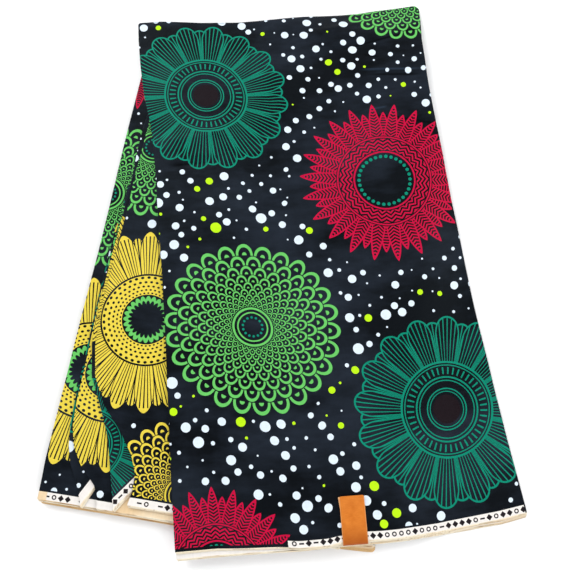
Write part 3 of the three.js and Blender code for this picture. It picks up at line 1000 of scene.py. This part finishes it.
def draw_daisy(distance, turn):
    """Long round-ended petals drawn in lines, a second row behind them, and rings in the middle."""
    count, start, powers, vein = 16, 0.5, (2, 4), 0.125
    aside = from_spoke(turn, count)
    front = petal(distance, aside, start, length=0.5, half_width=0.47, powers=powers)
    veins = from_spoke(aside, 7.4, 0.5) < vein
    front_row = (front < 1) * (front > 0.85).either(veins)

    behind = from_spoke(turn, count, 0.5)
    back = petal(distance, behind, start, length=0.44, half_width=0.4, powers=powers)
    veins_behind = from_spoke(behind, 6.5, 0.5) < vein
    back_row = (back < 1) * (back > 0.83).either(veins_behind) * (front > 1)
    petals = front_row.either(back_row) * (distance > start)

    outer_rings = fine_rings(distance, (0.495, 0.011), (0.462, 0.006), (0.335, 0.009), (0.300, 0.006))
    inner_rings = fine_rings(distance, (0.215, 0.007), (0.185, 0.005))
    ticks = (from_spoke(turn, 44) < 0.15) * between(distance, 0.365, 0.44)
    heart = distance < 0.15
    return petals.either(outer_rings).either(inner_rings).either(ticks), heart


def draw_star(distance, turn):
    """Two rows of lance points with slanting veins round a band of zigzags, and a ring of beads."""
    count, start = 22, 0.56
    aside = from_spoke(turn, count)
    half_width = lance_width(distance, start, length=0.44, power=0.75)
    veins = (distance * 24 - aside * 3.4).fract() > 0.54
    edge = (half_width - aside) < 0.075
    front_row = (aside < half_width) * veins.either(edge)

    behind = from_spoke(turn, count, 0.5)
    width_behind = lance_width(distance, start, length=0.33, power=0.7)
    arcs = (distance * 30).fract() > 0.58
    edge_behind = (width_behind - behind) < 0.09
    back_row = (behind < width_behind) * arcs.either(edge_behind) * (aside > half_width)
    points = front_row.either(back_row) * between(distance, 0.575, 1.0)

    zigzag = (distance * 21 + from_spoke(turn, 26) * 1.7).fract() > 0.52
    band = zigzag * between(distance, 0.385, 0.535)
    beads = bead_ring(distance, turn, at=0.305, count=30, size=0.021)
    return points.either(band).either(fine_rings(distance, (0.556, 0.009), (0.362, 0.010))), beads


def draw_sunflower(distance, turn):
    """Two rows of broad petals with dark lines round a field of seeds, and a scalloped ring."""
    count, start, powers = 20, 0.5, (1.7, 2.6)
    aside = from_spoke(turn, count)
    front = petal(distance, aside, start, length=0.5, half_width=0.49, powers=powers)
    lines = (aside < 0.028).either(aside.near(0.15, 0.022)).either(aside.near(0.285, 0.020))
    lines_end = 0.93
    front_row = (front < 0.9) * (1 - lines * (distance < lines_end))

    behind = from_spoke(turn, count, 0.5)
    back = petal(distance, behind, start, length=0.43, half_width=0.46, powers=powers)
    lines_behind = (behind < 0.03).either(behind.near(0.13, 0.02))
    back_row = (back < 0.92) * (1 - lines_behind) * (front > 1.0)
    petals = front_row.either(back_row) * (distance > start)

    field_from, seed_count = 0.27, 42
    seed_row, seed_out = growing_rings(distance, field_from, 0.118)
    seed_aside = from_spoke(turn + seed_row * (0.5 / seed_count), seed_count)
    seeds = hypotenuse(seed_aside, seed_out - 0.5) < 0.27
    field = between(distance, field_from, 0.48) * (1 - seeds)
    scallop = from_spoke(turn, 24)
    collar = between(distance + scallop * scallop * 0.16, 0.205, 0.255)
    return petals.either(field), collar


DOT_SPACING = 15.8
LARGEST_DOT = 5.9
SMALLEST_DOT_SHARE = 0.16
DOT_SCATTER = 0.6  # 0 would put them in rows
DOT_ROWS_TURN = 34  # degrees, which keeps the dots from lining up with the cloth's edges
DOT_ROOM_SHARE = 0.86  # how much of the room between its neighbours a dot may fill
CLEAR_OF_MOTIF = 1.045  # of the motif's radius, from its middle to a dot's
LIME_SHARE = 0.095


def turned_about(tree, vector, degrees):
    node = tree.nodes.new("ShaderNodeVectorRotate")
    node.rotation_type = "Z_AXIS"
    node.inputs["Angle"].default_value = math.radians(degrees)
    tree.links.new(vector, node.inputs["Vector"])
    return node.outputs["Vector"]


def scattered_dots_group(nearest_motif):
    """Round dots of many sizes, none touching another and none on a round motif."""
    tree, given, result = new_group(
        "scattered_dots", {"Cloth": "Vector"}, {"Dots": "Float", "Lime": "Float"}
    )
    rows = turned_about(tree, given.outputs["Cloth"], DOT_ROWS_TURN)
    cells = []
    for feature in ("F1", "N_SPHERE_RADIUS"):
        cell = tree.nodes.new("ShaderNodeTexVoronoi")
        cell.voronoi_dimensions = "2D"
        cell.feature = feature
        cell.inputs["Randomness"].default_value = DOT_SCATTER
        cell.inputs["Scale"].default_value = 1 / in_metres(DOT_SPACING)
        tree.links.new(rows, cell.inputs["Vector"])
        cells.append(cell)
    nearest, room = cells
    chance = PlaceWire(tree, nearest.outputs["Color"])
    dot_middle = turned_about(tree, nearest.outputs["Position"], -DOT_ROWS_TURN)
    clear = output(place_group(tree, nearest_motif, Cloth=dot_middle), "Distance") > CLEAR_OF_MOTIF
    share = chance.x**1.7 * (1 - SMALLEST_DOT_SHARE) + SMALLEST_DOT_SHARE
    wanted = share * (LARGEST_DOT / DOT_SPACING)
    radius = wanted.at_most(output(room, "Radius") * DOT_ROOM_SHARE)
    dots = (output(nearest, "Distance") < radius) * clear
    give_out(result, Dots=dots, Lime=chance.y < LIME_SHARE)
    return tree


# The selvedge, by distance down the cloth. The print ends short of a pale strip that runs along part of
# the edge, and has small plain marks on some stretches. Elsewhere the print runs on nearly to the edge.
PRINT_END = 573.6
LATE_PRINT_END = 580.0
STRIP_FROM = 575.4
NARROW_STRIP_FROM = 576.8
# Where the tan strip of painted shade on one bare stretch starts, down the cloth
PAINTED_SHADE_FROM = 558.0
EDGE_FROM = 582.8
MARK_MIDDLE = 579.3
MARK_PITCH = 6.9
STRIPS = [
    {"from": 108, "to": 172, "top": NARROW_STRIP_FROM, "look": "marked"},
    {"from": 172, "to": 343, "top": STRIP_FROM, "look": "marked"},
    {"from": 480, "to": 700, "top": STRIP_FROM, "look": "marked"},
    {"from": 750, "to": 826, "top": STRIP_FROM, "look": "plain"},
    # On this stretch the tan below its top is painted shade, where the cloth lies in shadow
    {"from": 826, "to": 1010, "top": PAINTED_SHADE_FROM, "look": "bare_and_shaded"},
    {"from": 1800, "to": 1893.5, "top": STRIP_FROM, "look": "bare_and_shaded"},
    {"from": 1893.5, "to": 1928, "top": STRIP_FROM, "look": "marked"},
    {"from": 1928, "to": 1980, "top": STRIP_FROM, "look": "plain"},
    {"from": 2200, "to": 2600, "top": STRIP_FROM, "look": "plain"},
    {"from": 3480, "to": 3600, "top": STRIP_FROM, "look": "plain"},
]
# How tan the cut edges are by stretches along the cloth. The stack's are the oldest and the darkest.
EDGE_TONES = [
    {"from": 0, "to": 108, "tan": 0.1},
    {"from": 108, "to": 343, "tan": 0.5},
    {"from": 1840, "to": 2185, "tan": 1.0},
    {"from": 2200, "to": 2600, "tan": 0.55},
]
OTHER_EDGE_TONE = 0.7


def on_stretch(along, row):
    return between(along, in_metres(row["from"]), in_metres(row["to"]))


# The small marks, with sizes in shares of their pitch, and what a chance from 0 to 1 picks each for
DIAMOND = {"reach": 0.44, "picked": (0, 0.4)}
RING = {"radius": 0.25, "half_line": 0.085, "picked": (0.4, 0.7)}
DASH = {"half_length": 0.34, "half_height": 0.11, "picked": (0.7, 0.92)}


def selvedge_marks(along, down):
    """A row of small diamonds, rings and dashes, with a gap here and there."""
    cell = along / in_metres(MARK_PITCH)
    chance = cell.tree.nodes.new("ShaderNodeTexWhiteNoise")
    chance.noise_dimensions = "1D"
    cell.tree.links.new(cell.floor().socket, chance.inputs["W"])
    pick = output(chance, "Value")
    aside = abs(cell.fract() - 0.5)
    off = abs((down - in_metres(MARK_MIDDLE)) / in_metres(MARK_PITCH))
    diamond = ((aside + off) < DIAMOND["reach"]) * between(pick, *DIAMOND["picked"])
    ring = hypotenuse(aside, off).near(RING["radius"], RING["half_line"]) * between(pick, *RING["picked"])
    dash = (aside < DASH["half_length"]) * (off < DASH["half_height"]) * between(pick, *DASH["picked"])
    return diamond.either(ring).either(dash)


def selvedge_group():
    """The cloth's edge: where it is printed, a pale strip, its small marks and the cut edge itself."""
    tree, given, result = new_group(
        "selvedge",
        {"Cloth": "Vector"},
        {label: "Float" for label in ("Printed", "Strip", "Marks", "Bare", "Edge")},
    )
    place = PlaceWire(tree, given.outputs["Cloth"])
    along, down = place.x, place.y
    stripped, strip, marked, bare_and_shaded = (along * 0 for _ in range(4))
    for row in STRIPS:
        stretch = on_stretch(along, row)
        stripped = stripped.either(stretch)
        strip = strip.either(stretch * (down > in_metres(row["top"])))
        if row["look"] == "marked":
            marked = marked.either(stretch)
        if row["look"] == "bare_and_shaded":
            bare_and_shaded = bare_and_shaded.either(stretch)
    early, late = down < in_metres(PRINT_END), down < in_metres(LATE_PRINT_END)
    give_out(
        result,
        Printed=early.either(late * (1 - stripped)) * (1 - strip),
        Strip=strip,
        Marks=selvedge_marks(along, down) * strip * marked,
        Bare=strip * bare_and_shaded,
        Edge=down > in_metres(EDGE_FROM),
    )
    return tree


CREASE_FADE_SHARE = 0.2  # of a crease's length, at each end


def crease_line_group():
    """A soft line from a place on the cloth, in a direction, that fades at its ends."""
    tree, given, result = new_group(
        "crease_line",
        {
            "Cloth": "Vector",
            "Start": "Vector",
            "Direction": "Vector",
            "Length": "Float",
            "Width": "Float",
        },
        {"Line": "Float"},
    )
    place = PlaceWire(tree, given.outputs["Cloth"])
    start = PlaceWire(tree, given.outputs["Start"])
    toward = PlaceWire(tree, given.outputs["Direction"])
    right, down = place.x - start.x, place.y - start.y
    share = (right * toward.x + down * toward.y) / output(given, "Length")
    aside = abs(right * toward.y - down * toward.x) / output(given, "Width")
    fade = (share.at_most(1 - share) / CREASE_FADE_SHARE).clamped()
    give_out(result, Line=(1 - aside).at_least(0) * fade)
    return tree


def crease_lines(tree, group, cloth, tone, width):
    """The front's creases of one tone as one mask: painted highlight on pale ones, painted shade on dark.
    """
    total = None
    for crease in CREASES:
        if crease["line"] != tone:
            continue
        (across, up), (end_across, end_up) = crease["from"], crease["to"]
        right, down = end_across - across, up - end_up
        length = math.hypot(right, down)
        middle = (across + end_across) / 2
        hem = float(np.interp(middle, FRONT_HEM["across"], FRONT_HEM["upper"]))
        placed = place_group(
            tree,
            group,
            Cloth=cloth,
            Start=(in_metres(across), in_metres(PANEL_LENGTH - up + hem), 0),
            Direction=(right / length, down / length, 0),
            Length=in_metres(length),
            Width=in_metres(width),
        )
        line = output(placed, "Line")
        total = line if total is None else total.either(line)
    return total


def noise(x, y, detail=2.0, roughness=0.5):
    """Cloudy noise over a plane, from 0 to 1. x and y are given in clouds."""
    node = x.tree.nodes.new("ShaderNodeTexNoise")
    node.inputs["Scale"].default_value = 1.0
    node.inputs["Detail"].default_value = detail
    node.inputs["Roughness"].default_value = roughness
    x.tree.links.new(joined(x, y), node.inputs["Vector"])
    return output(node, "Fac")


THREADS_PER_METRE = 2200
SLUBS = {"along": 9, "aside": 420}  # how often they change in a metre, along a thread and aside of it


def plain_weave_group():
    """Plain weave: threads over and under each other, with some that are thicker."""
    tree, given, result = new_group(
        "plain_weave", {"Cloth": "Vector"}, {"Height": "Float", "Slub": "Float"}
    )
    place = PlaceWire(tree, given.outputs["Cloth"])
    warp, weft = place.x * THREADS_PER_METRE, place.y * THREADS_PER_METRE
    parity = (warp.floor() + weft.floor()).math("MODULO", 2)
    over = (warp * math.pi).math("SINE")
    under = (weft * math.pi).math("SINE")
    height = abs(over) * parity + abs(under) * (1 - parity)
    along = noise(place.x * SLUBS["along"], place.y * SLUBS["aside"])
    down = noise(place.x * SLUBS["aside"], place.y * SLUBS["along"])
    give_out(result, Height=height, Slub=(along + down) * 0.5)
    return tree


def mix(tree, factor, below, above):
    """Colour above over colour below, by a mask. Each colour is a socket or a value."""
    node = tree.nodes.new("ShaderNodeMix")
    node.data_type = "RGBA"
    tree.links.new(factor.socket, node.inputs["Factor"])
    for label, value in (("A", below), ("B", above)):
        socket = next(s for s in node.inputs if s.name == label and s.type == "RGBA")
        if isinstance(value, bpy.types.NodeSocket):
            tree.links.new(value, socket)
        else:
            socket.default_value = value
    return next(s for s in node.outputs if s.type == "RGBA")


# The dyes, the bare cloth and its cut edges, the tab, and the painted sheen, highlights and shade
GROUND = paint(10, 12, 16)
# Painted sheen: soft bluish bands over the dark ground
GROUND_PAINTED_SHEEN = paint(33, 39, 49)
WHITE_DOT = paint(208, 220, 232)
LIME_DOT = paint(176, 222, 24)
SELVEDGE_WHITE = paint(224, 219, 214)
# Tan cloth, which on one bare stretch of the selvedge is painted shade
BARE_CLOTH_AND_SHADE = paint(218, 190, 150)
EDGE_CREAM = paint(230, 219, 196)
EDGE_TAN = paint(206, 168, 116)
EDGE_BROWN = paint(146, 100, 56)
MARK_INK = paint(34, 28, 30)
LEAF_GREEN = paint(97, 184, 92)
EMERALD = paint(10, 126, 102)
CRIMSON = paint(184, 12, 57)
SUN_YELLOW = paint(216, 194, 68)
DARK_HEART = paint(26, 16, 20)
TAB_ORANGE = paint(207, 121, 39)
TAB_DEEP = paint(188, 100, 20)
# Painted shade where the tab folds round the hem
TAB_FOLD_SHADE = paint(150, 70, 0)
TAB_EDGE = paint(226, 176, 122)
# Painted highlight along the pale creases and painted shade along the dark ones
CREASE_PAINTED_LIGHT = {
    "pale": {"colour": paint(50, 64, 82), "width": 1.9, "strength": 0.45},
    "dark": {"colour": paint(0, 0, 1), "width": 2.1, "strength": 0.9},
}
MOTIF_LOOKS = {
    "scales": (draw_scales, LEAF_GREEN, EMERALD),
    "daisy": (draw_daisy, EMERALD, DARK_HEART),
    "star": (draw_star, CRIMSON, EMERALD),
    "sunflower": (draw_sunflower, SUN_YELLOW, LEAF_GREEN),
    "golden_scales": (draw_scales, SUN_YELLOW, LEAF_GREEN),
}
WAX_SHINE_TINT = (0.56, 0.78, 0.88, 1)
BUMP_HEIGHT = 0.0002  # in metres
CORE_DARK_HEIGHT = 6.8  # the stack's edges darken from here down to the table
TAB_PALE_RIM = 0.9
# The tab's painted fold shade: where along the leather it is darkest, and how far it reaches
TAB_FOLD_AT = LABEL["under_leaf"] + 3  # along the leather, where it is darkest
TAB_FOLD_REACH = 22


def new_material(name):
    """A material, its node tree and its shader."""
    material = bpy.data.materials.new(name)
    material.use_nodes = True
    return material, material.node_tree, material.node_tree.nodes["Principled BSDF"]


def uv_places(tree, name):
    uv = tree.nodes.new("ShaderNodeUVMap")
    uv.uv_map = name
    return uv.outputs[0]


def add_bumps(tree, shader, height, strength):
    bump = tree.nodes.new("ShaderNodeBump")
    bump.inputs["Strength"].default_value = strength
    bump.inputs["Distance"].default_value = BUMP_HEIGHT
    tree.links.new(height.socket, bump.inputs["Height"])
    tree.links.new(bump.outputs["Normal"], shader.inputs["Normal"])


HAZE_FROM = 0.44
HAZE_CONTRAST = 5.5


def painted_sheen_and_tone(place):
    """Painted sheen on the ground, in clouds, slanting bands and flecks. Returns the clouds and all of
    it.
    """
    clouds = noise(place.x * 9, place.y * 9, detail=4.0)
    bands = noise(place.x * 5 + place.y * 4, place.y * 15, detail=3.0)
    flecks = noise(place.x * 34, place.y * 90, detail=4.0, roughness=0.65)
    mixed = clouds * 0.42 + bands * 0.38 + flecks * 0.2
    return clouds, ((mixed - HAZE_FROM) * HAZE_CONTRAST).clamped()


# Lays the painted highlight and painted shade of the front's creases over the ground
def with_painted_crease_light(tree, cloth, colour):
    group = crease_line_group()
    for tone, look in CREASE_PAINTED_LIGHT.items():
        line = crease_lines(tree, group, cloth, tone, look["width"])
        colour = mix(tree, line * look["strength"], colour, look["colour"])
    return colour


def with_dots(tree, cloth, nearest, printed, colour):
    dots = place_group(tree, scattered_dots_group(nearest), Cloth=cloth)
    dot_colour = mix(tree, output(dots, "Lime"), WHITE_DOT, LIME_DOT)
    return mix(tree, output(dots, "Dots") * printed, colour, dot_colour)


def with_motifs(tree, cloth, nearest, printed, colour):
    inside = place_group(tree, nearest, Cloth=cloth)
    right, up, distance, kind = (output(inside, n) for n in ("Right", "Up", "Distance", "Kind"))
    turn = up.math("ARCTAN2", right) / (2 * math.pi) + 0.5
    in_motif = (distance < 1.0) * printed
    for name, (draw, ink_colour, accent_colour) in MOTIF_LOOKS.items():
        chosen = kind.near(MOTIF_KINDS.index(name), 0.1) * in_motif
        drawn = place_group(tree, motif_group(f"{name}_motif", draw), Distance=distance, Turn=turn)
        colour = mix(tree, output(drawn, "Ink") * chosen, colour, ink_colour)
        colour = mix(tree, output(drawn, "Accent") * chosen, colour, accent_colour)
    return colour


def edge_colour(tree, place):
    """The cut edges of many layers: cream and tan threads in streaks, darker in the stack's depth."""
    where = tree.nodes.new("ShaderNodeTexCoord")
    split = tree.nodes.new("ShaderNodeSeparateXYZ")
    tree.links.new(where.outputs["Object"], split.inputs[0])
    height = output(split, "Z")
    tone = place.x * 0 + OTHER_EDGE_TONE
    for row in EDGE_TONES:
        tone = tone + on_stretch(place.x, row) * (row["tan"] - OTHER_EDGE_TONE)
    streak = noise(place.x * 7, height * 640, detail=3.0)
    thread = noise(place.x * 11, height * 900 + 40)
    low = (1 - height / in_metres(CORE_DARK_HEIGHT)).at_least(0) * (tone > 0.9)
    tan = (((streak - 0.46) * 5).at_least(0) + low * 1.5) * tone
    brown = (1 - abs(thread - 0.52) / 0.03).at_least(0) * tone * 0.8
    colour = mix(tree, tan.at_most(0.95), EDGE_CREAM, EDGE_TAN)
    return mix(tree, brown, colour, EDGE_BROWN)


def with_selvedge(tree, place, selvedge, sheen_and_tone, colour):
    layers = {
        "Strip": SELVEDGE_WHITE,
        "Marks": MARK_INK,
        # Tan on the bare stretches, which on one of them is painted shade
        "Bare": mix(tree, sheen_and_tone, BARE_CLOTH_AND_SHADE, EDGE_CREAM),
        "Edge": edge_colour(tree, place),
    }
    for label, layer in layers.items():
        colour = mix(tree, output(selvedge, label), colour, layer)
    return colour


def printed_cotton():
    """Waxed printed cotton: its print, the sheen and crease light painted on it, its weave and its dull
    shine.
    """
    material, tree, shader = new_material("printed_cotton")
    cloth = uv_places(tree, "cloth")
    place = PlaceWire(tree, cloth)
    nearest = nearest_motif_group()
    selvedge = place_group(tree, selvedge_group(), Cloth=cloth)
    printed = output(selvedge, "Printed")

    clouds, sheen_and_tone = painted_sheen_and_tone(place)
    # Painted sheen over the dark ground
    colour = mix(tree, sheen_and_tone, GROUND, GROUND_PAINTED_SHEEN)
    colour = with_painted_crease_light(tree, cloth, colour)
    colour = with_dots(tree, cloth, nearest, printed, colour)
    colour = with_motifs(tree, cloth, nearest, printed, colour)
    colour = with_selvedge(tree, place, selvedge, sheen_and_tone, colour)

    weave = place_group(tree, plain_weave_group(), Cloth=cloth)
    slub = output(weave, "Slub")
    shade = tree.nodes.new("ShaderNodeHueSaturation")
    tree.links.new((slub * 0.3 + 0.85).socket, shade.inputs["Value"])
    tree.links.new(colour, shade.inputs["Color"])
    tree.links.new(shade.outputs["Color"], shader.inputs["Base Color"])
    tree.links.new((slub * 0.22 + clouds * 0.2 + 0.24).socket, shader.inputs["Roughness"])
    add_bumps(tree, shader, output(weave, "Height") * 0.6 + slub * 1.6, strength=0.35)
    shader.inputs["Specular IOR Level"].default_value = 0.06
    shader.inputs["Specular Tint"].default_value = WAX_SHINE_TINT
    return material


def tab_leather():
    """Smooth tan leather with a fine grain across it, painted shade where it folds and pale at its edges.
    """
    material, tree, shader = new_material("tab_leather")
    place = PlaceWire(tree, uv_places(tree, "tab"))
    half_width, pale_rim = in_metres(LABEL["width"] / 2), in_metres(TAB_PALE_RIM)
    rim = ((abs(place.x - half_width) - (half_width - pale_rim)) / pale_rim).clamped()
    fold_shade = 1 - abs(place.y - in_metres(TAB_FOLD_AT)) / in_metres(TAB_FOLD_REACH)
    is_backing = place.y < in_metres(-BACKING_ASIDE / 2)
    mottle = noise(place.x * 130, place.y * 130, detail=4.0)
    grain = noise(place.x * 260, place.y * 1500, detail=3.0)
    tone = mottle * 0.6 + grain * 0.4
    colour = mix(tree, ((tone - 0.35) * 3).clamped(), TAB_DEEP, TAB_ORANGE)
    # Painted shade, darkest at the tab's fold
    colour = mix(tree, fold_shade.at_least(0) ** 1.4 * 0.95, colour, TAB_FOLD_SHADE)
    colour = mix(tree, rim * 0.55, colour, TAB_EDGE)
    colour = mix(tree, is_backing, colour, TAB_EDGE)
    tree.links.new(colour, shader.inputs["Base Color"])
    tree.links.new((mottle * 0.2 + 0.4).socket, shader.inputs["Roughness"])
    add_bumps(tree, shader, grain, strength=0.5)
    shader.inputs["Specular IOR Level"].default_value = 0.25
    return material


def pale_floor():
    material, _, shader = new_material("pale_floor")
    shader.inputs["Base Color"].default_value = (0.93, 0.93, 0.93, 1)
    shader.inputs["Roughness"].default_value = 0.9
    shader.inputs["Specular IOR Level"].default_value = 0.1
    return material


# ---------------------------------------------------------------- the heap, from the table up

core = stack_core_mesh()
fanned = [(name, fanned_sheet(name, seed)) for seed, name in enumerate(FANNED, start=31)]
under_panel = front_sheet(
    "front_under_panel",
    "under",
    lambda across, up, from_side: under_lift(across, up),
    **UNDER_PANEL,
)
under_label = list(pile)
right_side, leaf_end = LABEL["width"], LABEL["under_leaf"]
under_leaf = np.array([(0, 0), (right_side, 0), (right_side, leaf_end), (0, leaf_end)])
lay_down(TAB, under_leaf, LABEL["thickness"])
front_panel = front_sheet(
    "front_panel",
    "upper",
    lambda across, up, from_side: front_lift(across, up) + fold_puff(from_side, FRONT_PUFF),
)
tab = label_mesh(under_label)

# The laid-out frame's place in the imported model's: the lower panel's box is the same in both
packed_low, packed_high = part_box("front_under_panel")
laid_low = under_panel[0].min(axis=0)
laid_high = under_panel[0].max(axis=0)
packed_middle = np.array((packed_low + packed_high)[:2]) / 2 * 1000
heap_shift = np.array([*(packed_middle - (laid_low + laid_high)[:2] / 2), 0.0])

cotton = printed_cotton()
for name, (points, faces, uv) in [
    ("stack_core", core),
    *fanned,
    ("front_under_panel", under_panel),
    ("front_panel", front_panel),
]:
    piece = make_piece(f"{name}_cloth", points, faces, uv)
    piece.data.materials.append(cotton)
    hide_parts(name)
    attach(piece, "root")
    "printed_cotton" if name != "stack_core" else "cloth_edges"

tab_piece = make_piece("edge_label_tab", *tab, uv_name="tab")
tab_piece.data.materials.append(tab_leather())
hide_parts("edge_label")
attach(tab_piece, "root")

# ---------------------------------------------------------------- stage, light and camera

scene = bpy.context.scene
scene.view_settings.view_transform = "Standard"

FLOOR_REACH = 6
FLOOR_BELOW = 0.0003
floor_mesh = bpy.data.meshes.new("floor")
floor_corners = [(x * FLOOR_REACH, y * FLOOR_REACH, 0) for x, y in ((-1, -1), (1, -1), (1, 1), (-1, 1))]
floor_mesh.from_pydata(floor_corners, [], [(0, 1, 2, 3)])
floor = bpy.data.objects.new("floor", floor_mesh)
floor.location.z = -FLOOR_BELOW
floor.data.materials.append(pale_floor())
scene.collection.objects.link(floor)

world = bpy.data.worlds.new("studio")
world.use_nodes = True
background = world.node_tree.nodes["Background"]
background.inputs["Color"].default_value = (0.96, 0.98, 1.0, 1)
# Bright walls and a darker ceiling, which the flat cloth reflects less of than its creases do
looking = world.node_tree.nodes.new("ShaderNodeTexCoord")
steepness = world.node_tree.nodes.new("ShaderNodeSeparateXYZ")
walls = world.node_tree.nodes.new("ShaderNodeMapRange")
walls.interpolation_type = "SMOOTHSTEP"
for label, value in {"From Min": 0.35, "From Max": 0.9, "To Min": 0.75, "To Max": 0.12}.items():
    walls.inputs[label].default_value = value
world.node_tree.links.new(looking.outputs["Generated"], steepness.inputs[0])
world.node_tree.links.new(steepness.outputs["Z"], walls.inputs["Value"])
world.node_tree.links.new(walls.outputs["Result"], background.inputs["Strength"])
scene.world = world


def soft_light(name, place, size, power):
    """A lamp of this size in metres that looks at the middle of the heap from its place."""
    lamp = bpy.data.lights.new(name, "AREA")
    lamp.shape = "RECTANGLE"
    lamp.size, lamp.size_y = size
    lamp.energy = power
    light = bpy.data.objects.new(name, lamp)
    light.location = place
    light.rotation_euler = (-Vector(place)).to_track_quat("-Z", "Y").to_euler()
    scene.collection.objects.link(light)


soft_light("window_light", place=(-1.0, 1.0, 1.2), size=(1.3, 1.1), power=29)
soft_light("fill_light", place=(1.4, 0.3, 1.0), size=(1.2, 1.4), power=18)
soft_light("near_light", place=(0.2, -1.6, 1.3), size=(1.6, 1.0), power=21)

# The camera looks down at the table from the hem's side. Its distance is in metres.
TILT = 14.7
CAMERA_AWAY = 0.672
FOCAL_PIXELS = 620
IMAGE_PIXELS = 570
SENSOR = 36

lens = bpy.data.cameras.new("camera")
lens.sensor_width = SENSOR
lens.lens = SENSOR * FOCAL_PIXELS / IMAGE_PIXELS
camera = bpy.data.objects.new("camera", lens)
tilt = math.radians(TILT)
target = Vector(in_metres(heap_shift).tolist())
camera.location = target + CAMERA_AWAY * Vector((0, -math.sin(tilt), math.cos(tilt)))
camera.rotation_euler = (tilt, 0, 0)
scene.collection.objects.link(camera)
scene.camera = camera

# ---------------------------------------------------------------- the cut of each sheet


def cut_of_fanned(name):
    """A fanned piece's cut as built: its width and length, and its area from its folds and its hem."""
    row = FANNED[name]
    left = left_fold(name)
    heights = 400
    ups = np.linspace(row["hem"], row["head"], heights)
    slope = row["rise"] / (row["reach"] - float(left(row["hem"])))
    # Above its slanting hem, each height has cloth from the left fold to the reach or to the hem
    hem_across = left(row["hem"]) + (ups - row["hem"]) / slope
    right = np.minimum(row["reach"], hem_across) if row["rise"] > 0 else row["reach"] + 0 * ups
    area = float(np.sum(right - left(ups)) * (ups[1] - ups[0]))
    width = row["reach"] - float(left(ups).min())
    length = row["head"] - row["hem"]
    return (in_metres(width), in_metres(length)), area / 1e6


in_metres(CORE_WIDTH)
in_metres(CORE_LENGTH)
for name in FANNED:
    flat, area = cut_of_fanned(name)
panel_cut = (in_metres(PANEL_WIDTH), in_metres(PANEL_LENGTH))
tab_length = LABEL["over_leaf"] + LABEL["half_turn"] + LABEL["under_leaf"]
tab_cut = (in_metres(LABEL["width"]), in_metres(tab_length))
